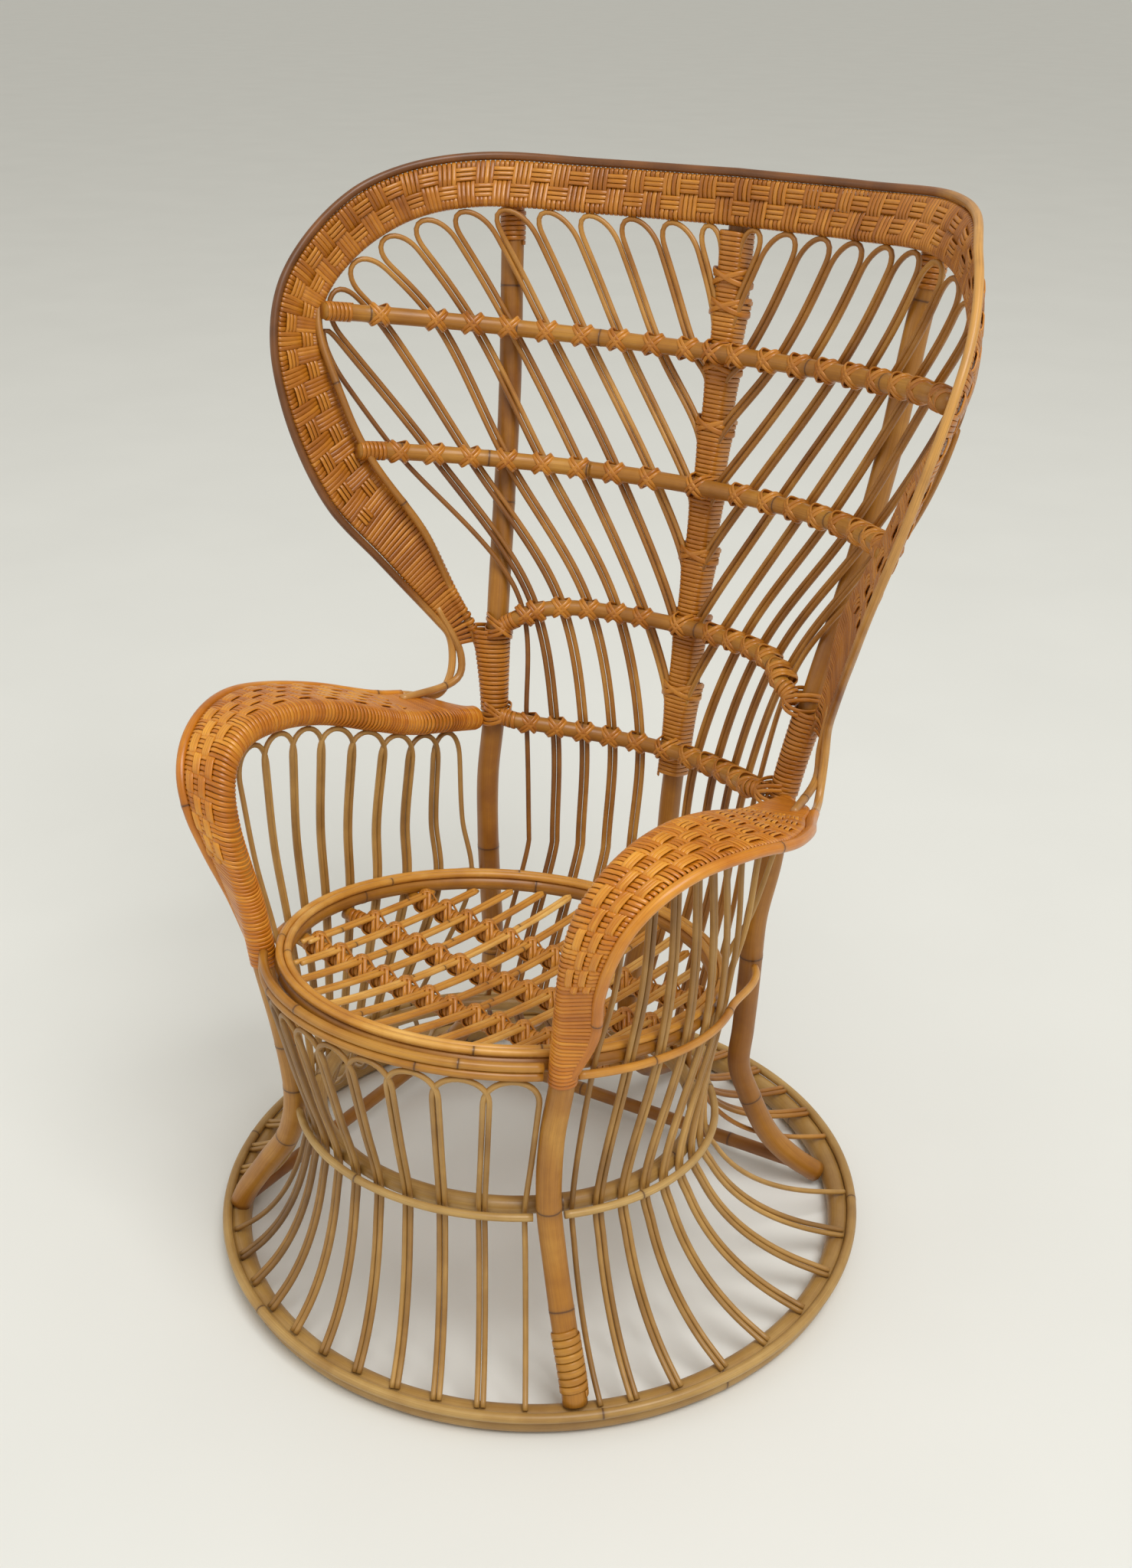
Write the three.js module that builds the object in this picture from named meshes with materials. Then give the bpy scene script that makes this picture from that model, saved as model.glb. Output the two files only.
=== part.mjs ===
// A high-backed rattan peacock chair: bent canes and poles on a round base, with a winged back.
// Millimetres, +Z up. The chair faces -Y and is alike on its left (+X) and right (-X) sides.
import * as THREE from 'three';

// Driving dimensions: lengths in millimetres, angles in degrees.
const clearance = 0.4;

const baseRadius = 368;
const baseTube = 14.5;
const beadTube = 6;
const beadAngle = 45;
const baseTurn = -4.4;
const rearTurn = 4.5;
const baseTurnHeight = 240;

const midCentreY = -63;
const midCentreZ = 201;
const midTilt = 5.5;
const midRadius = 219;
const midTube = 10;
const hoopTube = 4.5;

const lean = 10.5;
const seatCentreV = -136;
const seatHeight = 366;
const seatHalfWidth = 236;
const seatHalfDepth = 255;
const seatTube = 9.5;
const seatHoopTube = 4;
const sideHoopTube = 4.5;
const slatCane = 3.4;
const slatCount = 13;
const slatSpacing = 32;
const slatDish = 24;
const slatRise = 2;
const crossBarTube = 8;
const crossBarDip = 15.5;
const crossBarPlaces = [-92, 6, 104];

const caneRadius = 3.1;
const legRadius = 13.5;
const uprightRadius = 13.5;
const centrePoleRadius = 13;
const frontFootInset = 2;
const frontFootRise = 5.2;
const frontFootAngle = 45.4;
const rearFootAngle = 126;
const rearFootHeight = 16;
const stretcherTube = 8.5;
const rearStretcherHeight = 26;
const sideStretcherHeights = [34, 37];

const backPlan = 1.85;
const backPlanTop = 0.4;
const backPlanRise = [1170, 1235];
const backCentreV = -120;
const backDepth = 307;
const backDepthTuck = 10;
const backWidthLow = 255;
const backWidthGain = 157;
const backWidthTuck = 16;
const backFlare = [500, 1075, 1235];
const poleTop = 1222;

const rimTube = 6.5;
const bandWidth = 54;
const bandGain = 18;
const bandGainSpan = [0.45, 0.7, 0.78, 0.97];
const bandCane = 5;
const bandThickness = 7;
const armPanelThickness = 6;

const railTube = 11;
const lowRailTube = 10;
const railHeights = [1036, 882, 720, 562];
const archDrop = 40;
const archSag = 6;
const lowRailRise = 10;
const lowRailDip = 14;

const frontCanes = 11;
const sideCanes = 9;
const backCanes = 13;
const longBackCanes = 5;
const topCaneStart = 13;
const topCanePitch = 50;
const loopDepth = 32;

const peelWidth = 6;
const peelThickness = 1.6;
const peelPitch = 8.2;
const footWrapTurns = 8;
const elbowWrapTurns = 8;

// The legs' splay above their feet: [how far inside the foot's circle, angle from the front, height].
const frontLegSplay = [[9.3, 45, 52], [38, 42.5, 108], [66, 39.5, 168]];
const rearLegSplay = [[106.5, 130, 190], [93.5, 129, 147], [62.5, 127, 78], [31.5, 126.2, 42]];
// The +X front leg from its knee at the waist up to the seat, [x, y, z].
const frontLegPoints = [[177, -232, 235], [184, -236, 325]];
// The arm, from seat to back: the leg pole that becomes the arm, and the cane along its outer edge.
const armPole = [
  [200, -240, 405], [208, -243, 470], [216, -249, 520], [225, -252, 566], [234, -246, 604],
  [244, -227, 632], [251, -192, 648], [252, -130, 646], [249, -62, 627], [236, 6, 597], [228, 68, 571],
];
const armCane = [
  [221, -243, 405], [238, -242, 472], [254, -257, 532], [270, -262, 577], [285, -254, 613],
  [300, -231, 638], [317, -191, 653], [337, -127, 652], [345, -56, 634], [330, 8, 614], [297, 80, 586],
];
// The +X rear leg below the back, from seat to waist, [x, y, z].
const rearLegPoints = [[194, 164, 394], [191, 162, 325], [187, 160, 240]];
// The back drawn flat: [distance from the middle, height up the lean, distance outside the back's surface].
const rimOutline = [
  [0, 1232, 0], [170, 1229, 0], [317, 1222, 0], [408, 1195, 0], [486, 1141, 0], [544, 1066, 0],
  [555, 1000, 0], [531, 919, 0], [469, 824, 2], [385, 753, 9], [303, 681, 26], [285, 663, 32],
];
const gooseneck = [[270, 637, 40], [266, 608, 46], [276, 586, 48]];

const cane = { color: 0xb5762f, roughness: 0.55, metalness: 0 };
const pole = { color: 0xb98743, roughness: 0.5, metalness: 0 };
const peel = { color: 0xc8823a, roughness: 0.6, metalness: 0 };

const chair = new THREE.Group();
const leanAngle = THREE.MathUtils.degToRad(lean);
const tiltAngle = THREE.MathUtils.degToRad(midTilt);

function addPart(name, geometry, look) {
  const mesh = new THREE.Mesh(geometry, new THREE.MeshStandardMaterial(look));
  mesh.name = name;
  chair.add(mesh);
  return mesh;
}

function vector(point, side = 1) {
  return new THREE.Vector3(side * point[0], point[1], point[2]);
}

// A point of the leaned frame of seat and back: u across, v to the rear, w up the lean.
function leaned(u, v, w) {
  const y = v * Math.cos(leanAngle) + w * Math.sin(leanAngle);
  const z = w * Math.cos(leanAngle) - v * Math.sin(leanAngle);
  return new THREE.Vector3(u, y, z);
}

// A cane's centre line as straight steps between its own points.
class CanePath extends THREE.Curve {
  constructor(points) {
    super();
    this.points = points;
  }
  getPoint(t, target = new THREE.Vector3()) {
    const last = this.points.length - 1;
    const index = Math.min(Math.floor(t * last + 1e-9), last - 1);
    return target.lerpVectors(this.points[index], this.points[index + 1], t * last - index);
  }
  getPointAt(t, target) {
    return this.getPoint(t, target);
  }
  getTangentAt(t, target = new THREE.Vector3()) {
    const last = this.points.length - 1;
    const index = Math.round(t * last);
    const before = this.points[Math.max(index - 1, 0)];
    const after = this.points[Math.min(index + 1, last)];
    return target.subVectors(after, before).normalize();
  }
  getSpacedPoints() {
    return this.points;
  }
}

function tube(points, radius, sides) {
  const section = new THREE.Shape();
  for (let i = 0; i < sides; i += 1) {
    const angle = (2 * Math.PI * (i + 0.5)) / sides;
    const x = radius * Math.cos(angle);
    const y = radius * Math.sin(angle);
    if (i === 0) section.moveTo(x, y);
    else section.lineTo(x, y);
  }
  const steps = points.length - 1;
  return new THREE.ExtrudeGeometry(section, { steps, extrudePath: new CanePath(points), bevelEnabled: false });
}

// How far the flats of a round drawn with so many sides lie from its middle.
function facet(radius, sides) {
  return radius * Math.cos(Math.PI / sides);
}

function smooth(points, steps) {
  return new THREE.CatmullRomCurve3(points, false, 'centripetal').getSpacedPoints(steps);
}

// A closed ring whose section is an even polygon with a flat underside.
function ring(radius, tubeRadius, sides, steps) {
  const profile = [];
  for (let i = 0; i <= sides; i += 1) {
    const angle = (2 * Math.PI * (i + 0.5)) / sides - Math.PI / 2;
    profile.push(new THREE.Vector2(radius + tubeRadius * Math.cos(angle), tubeRadius * Math.sin(angle)));
  }
  profile[sides].copy(profile[0]);
  return new THREE.LatheGeometry(profile, steps).rotateX(Math.PI / 2);
}

// A closed body through rows of four corners each, facing out whichever way the rows turn.
function sweep(rows) {
  const index = [];
  for (let i = 0; i < rows.length - 1; i += 1) {
    for (let j = 0; j < 4; j += 1) {
      const a = 4 * i + j;
      const b = 4 * i + ((j + 1) % 4);
      index.push(a, b, a + 4, b, b + 4, a + 4);
    }
  }
  const end = 4 * (rows.length - 1);
  index.push(0, 2, 1, 0, 3, 2, end, end + 1, end + 2, end, end + 2, end + 3);
  const corners = rows.flat();
  let volume = 0;
  for (let i = 0; i < index.length; i += 3) {
    const [a, b, c] = [corners[index[i]], corners[index[i + 1]], corners[index[i + 2]]];
    volume += a.dot(b.clone().cross(c));
  }
  if (volume < 0) index.reverse();
  const geometry = new THREE.BufferGeometry();
  geometry.setAttribute('position', new THREE.Float32BufferAttribute(corners.flatMap((c) => c.toArray()), 3));
  geometry.setIndex(index);
  geometry.computeVertexNormals();
  return geometry;
}

// A flat strip between two edges, with a thickness square to it.
function strip(edgeA, edgeB, thickness) {
  const last = edgeA.length - 1;
  return sweep(edgeA.map((a, i) => {
    const along = new THREE.Vector3().subVectors(edgeA[Math.min(i + 1, last)], edgeA[Math.max(i - 1, 0)]);
    const across = new THREE.Vector3().subVectors(edgeB[i], a);
    const normal = along.cross(across).setLength(thickness / 2);
    const b = edgeB[i];
    return [a.clone().add(normal), b.clone().add(normal), b.clone().sub(normal), a.clone().sub(normal)];
  }));
}

// A flat strip wound round a pole as one unbroken helix, starting a given way along the pole's own steps.
const windSteps = 8;
function winding(name, line, radius, turns, start) {
  const inner = (radius + clearance) / Math.cos(Math.PI / windSteps);
  const place = (distance) => {
    let left = distance;
    let i = 0;
    while (i < line.length - 2 && left > line[i].distanceTo(line[i + 1])) {
      left -= line[i].distanceTo(line[i + 1]);
      i += 1;
    }
    return line[i].clone().lerp(line[i + 1], left / line[i].distanceTo(line[i + 1]));
  };
  const rows = [];
  for (let i = 0; i <= turns * windSteps; i += 1) {
    const distance = start + (peelPitch * i) / windSteps;
    const along = new THREE.Vector3().subVectors(place(distance + peelPitch), place(distance - peelPitch)).normalize();
    const e1 = new THREE.Vector3(1, 0, 0).projectOnPlane(along).normalize();
    const e2 = along.clone().cross(e1);
    const angle = (2 * Math.PI * i) / windSteps;
    const radial = e1.multiplyScalar(Math.cos(angle)).addScaledVector(e2, Math.sin(angle));
    const corner = (out, rise) => place(distance).addScaledVector(radial, out).addScaledVector(along, rise);
    const outer = inner + peelThickness;
    rows.push([
      corner(inner, -peelWidth / 2), corner(outer, -peelWidth / 2),
      corner(outer, peelWidth / 2), corner(inner, peelWidth / 2),
    ]);
  }
  let gap = Infinity;
  for (let i = 0; i < rows.length - windSteps; i += 1) {
    for (let j = i + windSteps - 1; j < Math.min(i + windSteps + 2, rows.length); j += 1) {
      gap = Math.min(gap, rows[i][2].distanceTo(rows[j][1]), rows[i][3].distanceTo(rows[j][0]));
    }
  }
  console.log(`${name}: ${turns} turns, least gap to itself ${gap.toFixed(2)} mm`);
  addPart(name, sweep(rows), peel);
}
const windBuild = (radius) => (radius + clearance) / Math.cos(Math.PI / windSteps) + peelThickness - radius;

function ease(from, to, x) {
  return THREE.MathUtils.smoothstep(x, from, to);
}

// The back's plan at one height: half a superellipse, carried straight forward past its widest place.
function backPlanAt(w) {
  const [low, wide, top] = backFlare;
  const a = backWidthLow + backWidthGain * ease(low, wide, w) - backWidthTuck * ease(wide, top, w);
  const b = backDepth - backDepthTuck * ease(wide, top, w);
  const plan = backPlan + backPlanTop * ease(...backPlanRise, w);
  const samples = [];
  const count = 48;
  let length = 0;
  for (let i = 0; i <= count; i += 1) {
    const angle = (Math.PI / 2) * (i / count);
    const s = Math.sin(angle);
    const c = Math.max(Math.cos(angle), 0);
    const u = a * s ** (2 / plan);
    const v = backCentreV + b * c ** (2 / plan);
    const normal = new THREE.Vector2(s ** (2 - 2 / plan) / a, c ** (2 - 2 / plan) / b).normalize();
    if (i > 0) length += Math.hypot(u - samples[i - 1].u, v - samples[i - 1].v);
    samples.push({ u, v, normal, length });
  }
  return samples;
}

// A point of the back from its flat drawing: s from the middle, w up the lean, out from the surface.
function onBack(s, w, out = 0) {
  const samples = backPlanAt(w);
  const reach = Math.abs(s);
  const side = s < 0 ? -1 : 1;
  const last = samples[samples.length - 1];
  if (reach >= last.length) {
    return leaned(side * (last.u + out), last.v - (reach - last.length), w);
  }
  const i = samples.findIndex((sample) => sample.length > reach);
  const a = samples[i - 1];
  const b = samples[i];
  const t = (reach - a.length) / (b.length - a.length);
  const normal = a.normal.clone().lerp(b.normal, t).normalize();
  const u = THREE.MathUtils.lerp(a.u, b.u, t) + out * normal.x;
  const v = THREE.MathUtils.lerp(a.v, b.v, t) + out * normal.y;
  return leaned(side * u, v, w);
}

// Places on the round tiers, by angle from the front; positive angles are on the +X side.
function onMid(radius, angle, rise = 0) {
  const a = THREE.MathUtils.degToRad(angle);
  const across = radius * Math.sin(a);
  const along = -radius * Math.cos(a);
  const y = midCentreY + along * Math.cos(tiltAngle) + rise * Math.sin(tiltAngle);
  const z = midCentreZ - along * Math.sin(tiltAngle) + rise * Math.cos(tiltAngle);
  return new THREE.Vector3(across, y, z);
}

function onBase(radius, angle, height) {
  const a = THREE.MathUtils.degToRad(angle);
  return new THREE.Vector3(radius * Math.sin(a), -radius * Math.cos(a), height);
}

function onSeat(grow, angle, rise = 0) {
  const a = THREE.MathUtils.degToRad(angle);
  const radius = 1 / Math.hypot(Math.sin(a) / seatHalfWidth, Math.cos(a) / seatHalfDepth) + grow;
  return leaned(radius * Math.sin(a), seatCentreV - radius * Math.cos(a), seatHeight + rise);
}

// Base: a thick ring on the floor with a thinner bead ring on its outer shoulder.
const poleSides = 8;
const hoopSides = 6;
const thinSides = 4;
const baseSteps = 36;
const baseCentreZ = facet(baseTube, poleSides);
const beadStep = baseTube + facet(beadTube, hoopSides) + clearance;
const beadRadius = baseRadius + beadStep * Math.sin(THREE.MathUtils.degToRad(beadAngle));
const beadHeight = baseCentreZ + beadStep * Math.cos(THREE.MathUtils.degToRad(beadAngle));
addPart('base_ring', ring(baseRadius, baseTube, poleSides, baseSteps), pole).position.z = baseCentreZ;
addPart('base_bead_ring', ring(beadRadius, beadTube, hoopSides, baseSteps), pole).position.z = beadHeight;

// Waist: a thick ring inside the canes, and a thin hoop outside them in two arcs between the front legs.
const waistCane = midRadius + midTube + caneRadius + clearance;
const hoopSagitta = 1.4;
const hoopRadius = waistCane + caneRadius + hoopTube + hoopSagitta + clearance;
const ringSteps = 28;
const waistRing = addPart('waist_ring', ring(midRadius, midTube, hoopSides, ringSteps), pole);
waistRing.position.set(0, midCentreY, midCentreZ);
waistRing.rotation.x = -tiltAngle;

const knee = frontLegPoints[0];
const kneeAngle = THREE.MathUtils.radToDeg(Math.atan2(knee[0], midCentreY - knee[1]));
const hoopLegGap = 4.5;
const hoopEnd = THREE.MathUtils.radToDeg((legRadius + hoopLegGap) / hoopRadius);
function hoopArc(from, to, steps) {
  const points = [];
  for (let i = 0; i <= steps; i += 1) points.push(onMid(hoopRadius, THREE.MathUtils.lerp(from, to, i / steps)));
  return tube(points, hoopTube, hoopSides);
}
addPart('waist_hoop_front', hoopArc(hoopEnd - kneeAngle, kneeAngle - hoopEnd, 9), pole);
addPart('waist_hoop_rear', hoopArc(kneeAngle + hoopEnd, 360 - kneeAngle - hoopEnd, 26), pole);

// Legs: each front leg rises through the seat and bends back as the arm; each rear leg is the back's upright.
const poleOut = uprightRadius + windBuild(uprightRadius) + caneRadius + clearance;
const centreOut = facet(centrePoleRadius, poleSides) + facet(bandCane, hoopSides) + clearance;
const uprightFoot = 223;
const uprightSpread = 0.081;
const uprightFrom = 574;
const uprightAt = (w) => uprightFoot + uprightSpread * Math.max(w - uprightFrom, 0);
const uprightHeights = [poleTop, 1100, 960, 820, 690, uprightFrom, 490];
const centreHeights = [poleTop, 1080, 930, 780, 630, 500, 410];
const armEndHeight = 563;
const frontFootRadius = baseRadius - frontFootInset;
const frontFootHeight = 2 * baseCentreZ + frontFootRise;
const rearFootGap = 18.5;
const rearFootRadius = baseRadius - rearFootGap;
const armSteps = 30;

// The feet stand a little round from the chair's middle line; the turn fades out by knee height.
function turned(point, atFoot) {
  const turn = atFoot * (1 - ease(20, baseTurnHeight, point.z));
  return point.applyAxisAngle(new THREE.Vector3(0, 0, 1), THREE.MathUtils.degToRad(turn));
}

function splay(rows, footRadius, side) {
  return rows.map(([inside, angle, height]) => onBase(footRadius - inside, side * angle, height));
}

function frontLegLine(side) {
  const leg = [onBase(frontFootRadius, frontFootAngle * side, frontFootHeight)];
  leg.push(...splay(frontLegSplay, frontFootRadius, side), ...frontLegPoints.map((p) => vector(p, side)));
  const points = [...leg.map((p) => turned(p, baseTurn)), ...armPole.map((p) => vector(p, side))];
  const upright = onBack(side * uprightAt(armEndHeight), armEndHeight, poleOut);
  const ahead = onBack(side * (uprightAt(armEndHeight) + 10), armEndHeight, poleOut).sub(upright).normalize();
  points.push(upright.addScaledVector(ahead, uprightRadius + legRadius + clearance));
  return smooth(points, armSteps);
}

function uprightLine(side) {
  const points = [];
  for (const w of uprightHeights) {
    points.push(onBack(side * uprightAt(w), w, poleOut));
  }
  const leg = splay(rearLegSplay, rearFootRadius, side);
  leg.push(onBase(rearFootRadius, side * rearFootAngle, rearFootHeight));
  points.push(...rearLegPoints.map((p) => vector(p, side)), ...leg.map((p) => turned(p, rearTurn)));
  return smooth(points, 24);
}

const frontLegs = {};
const uprights = {};
for (const [side, name] of [[1, 'left'], [-1, 'right']]) {
  frontLegs[name] = frontLegLine(side);
  uprights[name] = uprightLine(side);
  addPart(`front_leg_and_arm_${name}`, tube(frontLegs[name], legRadius, poleSides), pole);
  addPart(`rear_leg_and_upright_${name}`, tube(uprights[name], uprightRadius, poleSides), pole);
}
// The centre pole runs down behind the back, past the waist hoop, and flares to the base; [back, height] from there.
const centreAbove = [22, 80];
const centreBelow = [40, -106];
const centreFootHeight = 16;
const centreFootRadius = baseRadius - baseTube - centrePoleRadius + 4;
const centreLine = centreHeights.map((w) => onBack(0, w, centreOut));
const poleAtWaist = onMid(hoopRadius + hoopTube + centrePoleRadius + clearance, 180);
const fromWaist = ([back, height]) => new THREE.Vector3(0, poleAtWaist.y + back, poleAtWaist.z + height);
centreLine.push(fromWaist(centreAbove), poleAtWaist, fromWaist(centreBelow));
centreLine.push(onBase(centreFootRadius, 180, centreFootHeight));
addPart('centre_pole', tube(smooth(centreLine, 18), centrePoleRadius, poleSides), pole);

// Floor stretchers: one between the rear legs, and one along the right side.
const rearButt = 12;
const sideButt = 4.6;
function stretcher(a, b, trimA, trimB) {
  const line = new THREE.Vector3().subVectors(b, a).normalize();
  const ends = [a.clone().addScaledVector(line, trimA), b.clone().addScaledVector(line, -trimB)];
  return tube(ends, stretcherTube, poleSides);
}
function lineAt(points, z) {
  const i = points.findIndex((p, k) => k > 0 && (p.z - z) * (points[k - 1].z - z) <= 0);
  return points[i - 1].clone().lerp(points[i], (z - points[i - 1].z) / (points[i].z - points[i - 1].z));
}
const rearEnds = [lineAt(uprights.left, rearStretcherHeight), lineAt(uprights.right, rearStretcherHeight)];
const [sideFront, sideRear] = sideStretcherHeights;
const sideEnds = [lineAt(frontLegs.right, sideFront), lineAt(uprights.right, sideRear)];
const rearTrim = uprightRadius + rearButt;
const sideTrim = legRadius + sideButt;
addPart('stretcher_rear', stretcher(...rearEnds, rearTrim, rearTrim), pole);
addPart('stretcher_right', stretcher(...sideEnds, sideTrim, sideTrim), pole);

// Seat: an oval ring, two thin hoops on it, a front rail between the legs and a side hoop at each side.
const seatRing = addPart('seat_ring', ring(seatHalfWidth, seatTube, hoopSides, ringSteps), pole);
seatRing.scale.y = seatHalfDepth / seatHalfWidth;
const seatSpot = leaned(0, seatCentreV, seatHeight);
seatRing.position.copy(seatSpot);
seatRing.rotation.x = -leanAngle;
const hoopStep = seatHoopTube + clearance;
const hoopRise = facet(seatTube, hoopSides) + facet(seatHoopTube, hoopSides) + clearance;
for (const [name, sign] of [['outer', 1], ['inner', -1]]) {
  const across = seatHalfWidth + sign * hoopStep;
  const hoop = addPart(`seat_hoop_${name}`, ring(across, seatHoopTube, hoopSides, ringSteps), cane);
  hoop.scale.y = (seatHalfDepth + sign * hoopStep) / across;
  hoop.position.copy(leaned(0, seatCentreV, seatHeight + hoopRise));
  hoop.rotation.x = -leanAngle;
}

const legAtSeat = vector(armPole[0]);
const legSeatV = legAtSeat.y * Math.cos(leanAngle) - legAtSeat.z * Math.sin(leanAngle) - seatCentreV;
const legSeatAngle = THREE.MathUtils.radToDeg(Math.atan2(legAtSeat.x, -legSeatV));
const legSeatReach = Math.hypot(legAtSeat.x, legSeatV);
const railGrow = legSeatReach - onSeat(0, legSeatAngle).distanceTo(seatSpot);
const railButt = legRadius + 2.5 * clearance;
const railEnd = THREE.MathUtils.radToDeg(railButt / legSeatReach);
const railSteps = 10;
const frontRail = [];
for (let i = 0; i <= railSteps; i += 1) {
  frontRail.push(onSeat(railGrow, THREE.MathUtils.lerp(railEnd - legSeatAngle, legSeatAngle - railEnd, i / railSteps)));
}
addPart('seat_front_rail', tube(frontRail, seatTube, poleSides), pole);

const seatCane = seatTube + caneRadius + clearance / 2;
const sideHoopGrow = seatCane + caneRadius + sideHoopTube + 2 * clearance;
const sideHoopEnd = 137;
const sideHoopSpread = 33;
const sideHoopSpreads = [112, 138];
const sideHoopDrop = 6;
const sideHoopSteps = 12;
const sideHoopStart = legSeatAngle + railEnd + clearance;
for (const [side, name] of [[1, 'left'], [-1, 'right']]) {
  const points = [];
  for (let i = 0; i <= sideHoopSteps; i += 1) {
    const angle = THREE.MathUtils.lerp(sideHoopStart, sideHoopEnd, i / sideHoopSteps);
    const grow = sideHoopGrow + sideHoopSpread * ease(...sideHoopSpreads, angle);
    points.push(onSeat(grow, side * angle, -sideHoopDrop));
  }
  addPart(`seat_side_hoop_${name}`, tube(points, sideHoopTube, hoopSides), cane);
}

// Seat slats: canes doubled back on themselves, from front to rear, over three cross bars.
function slatLength(u) {
  const inner = seatHalfWidth - seatTube;
  const step = (2 * Math.PI) / ringSteps;
  const before = step * Math.floor(Math.asin(u / inner) / step);
  const [from, to] = [inner * Math.sin(before), inner * Math.sin(before + step)];
  const along = THREE.MathUtils.mapLinear(u, from, to, Math.cos(before), Math.cos(before + step));
  return (inner * seatHalfDepth * along) / seatHalfWidth;
}
const slatGap = slatCane + clearance / 2;
const slatSteps = [-1, -0.35, 0.35];
for (let k = 0; k < slatCount; k += 1) {
  const u = (k - (slatCount - 1) / 2) * slatSpacing;
  const reach = slatLength(Math.abs(u) + slatGap + facet(slatCane, thinSides)) - clearance;
  const fullness = 1 - (u / seatHalfWidth) ** 2;
  const dish = (v) => seatHeight + slatRise - slatDish * fullness * (1 - (v / seatHalfDepth) ** 2);
  const at = (across, v) => leaned(across, seatCentreV + v, dish(v));
  const bend = reach - slatGap - slatCane;
  const points = [];
  for (const f of slatSteps) points.push(at(u - slatGap, f * reach));
  points.push(at(u - slatGap, bend), at(u - slatGap, bend + slatGap));
  points.push(at(u + slatGap, bend + slatGap), at(u + slatGap, bend));
  for (const f of [...slatSteps].reverse()) points.push(at(u + slatGap, f * reach));
  addPart(`seat_slat_${k + 1}`, tube(points, slatCane, thinSides), cane);
}
for (const [k, v] of crossBarPlaces.entries()) {
  const reach = seatHalfWidth * Math.sqrt(1 - (v / seatHalfDepth) ** 2);
  const under = seatHeight - facet(seatTube, hoopSides) - crossBarTube - clearance;
  const points = [];
  for (let i = -3; i <= 3; i += 1) {
    const f = i / 3;
    points.push(leaned(f * reach, seatCentreV + v, under - crossBarDip * (1 - f * f)));
  }
  addPart(`seat_cross_bar_${k + 1}`, tube(points, crossBarTube, hoopSides), pole);
}

// Back outline: one cane from arm to arm over the top, split where the goosenecks leave the arms.
const outlineHalf = [...rimOutline, ...gooseneck];
const rightToLeft = [...outlineHalf].reverse().map(([s, w, out]) => onBack(-s, w, out));
const leftToRight = outlineHalf.slice(1).map(([s, w, out]) => onBack(s, w, out));
const wholeOutline = [
  ...armCane.map((p) => vector(p, -1)),
  ...rightToLeft,
  ...leftToRight,
  ...[...armCane].reverse().map((p) => vector(p, 1)),
];
const outlineCurve = new THREE.CatmullRomCurve3(wholeOutline, false, 'centripetal');
const outlineSteps = 92;
const outlinePoints = outlineCurve.getSpacedPoints(outlineSteps);
const neckEnd = vector(armCane[armCane.length - 1], -1).lerp(rightToLeft[0], 0.4);
const splitAt = outlinePoints.reduce(
  (best, p, i) => (i < outlineSteps / 2 && p.distanceTo(neckEnd) < outlinePoints[best].distanceTo(neckEnd) ? i : best),
  0,
);
function shortened(points) {
  const last = points.length - 1;
  const line = new THREE.Vector3().subVectors(points[last - 1], points[last]).setLength(3 * clearance);
  return [...points.slice(0, last), points[last].clone().add(line)];
}
const armCaneRight = shortened(outlinePoints.slice(0, splitAt + 1));
const armCaneLeft = armCaneRight.map((p) => new THREE.Vector3(-p.x, p.y, p.z));
addPart('arm_edge_cane_left', tube(armCaneLeft, rimTube, hoopSides), cane);
addPart('arm_edge_cane_right', tube(armCaneRight, rimTube, hoopSides), cane);
const rimPoints = outlinePoints.slice(splitAt, outlineSteps - splitAt + 1);
addPart('back_rim_cane', tube(rimPoints, rimTube, hoopSides), cane);

// Woven band of the back, between the rim and an inner cane that the hairpins hang from.
const flatRim = new THREE.CatmullRomCurve3(rimOutline.map((p) => vector(p)), false, 'centripetal');
function bandShare(t) {
  const [from, full, hold, to] = bandGainSpan;
  return 1 + (bandGain / bandWidth) * ease(from, full, t) * (1 - ease(hold, to, t));
}
function flatInset(t, inset, beyond = 0) {
  const p = flatRim.getPointAt(t);
  const tangent = flatRim.getTangentAt(t);
  const depth = inset * bandShare(t) + beyond;
  return [p.x + depth * tangent.y, p.y - depth * tangent.x, p.z * (1 - inset / (2 * bandWidth))];
}
function insetLine(inset, beyond, steps) {
  const half = [];
  for (let i = 0; i <= steps; i += 1) half.push(flatInset((bandShareEnd * i) / steps, inset, beyond));
  const left = half.map(([s, w, out]) => onBack(s, w, out));
  const right = half.slice(1).map(([s, w, out]) => onBack(-s, w, out));
  return [...right.reverse(), ...left];
}
const bandSteps = 21;
const bandShareEnd = 0.99;
const rimSagitta = 1.6;
const bandOuter = insetLine(0, rimTube + rimSagitta + clearance, bandSteps);
const bandInner = insetLine(bandWidth, -2 * bandCane - clearance, bandSteps);
addPart('back_band_cane', tube(insetLine(bandWidth, -bandCane, bandSteps), bandCane, hoopSides), cane);
addPart('back_woven_band', strip(bandOuter, bandInner, bandThickness), peel);

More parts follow.
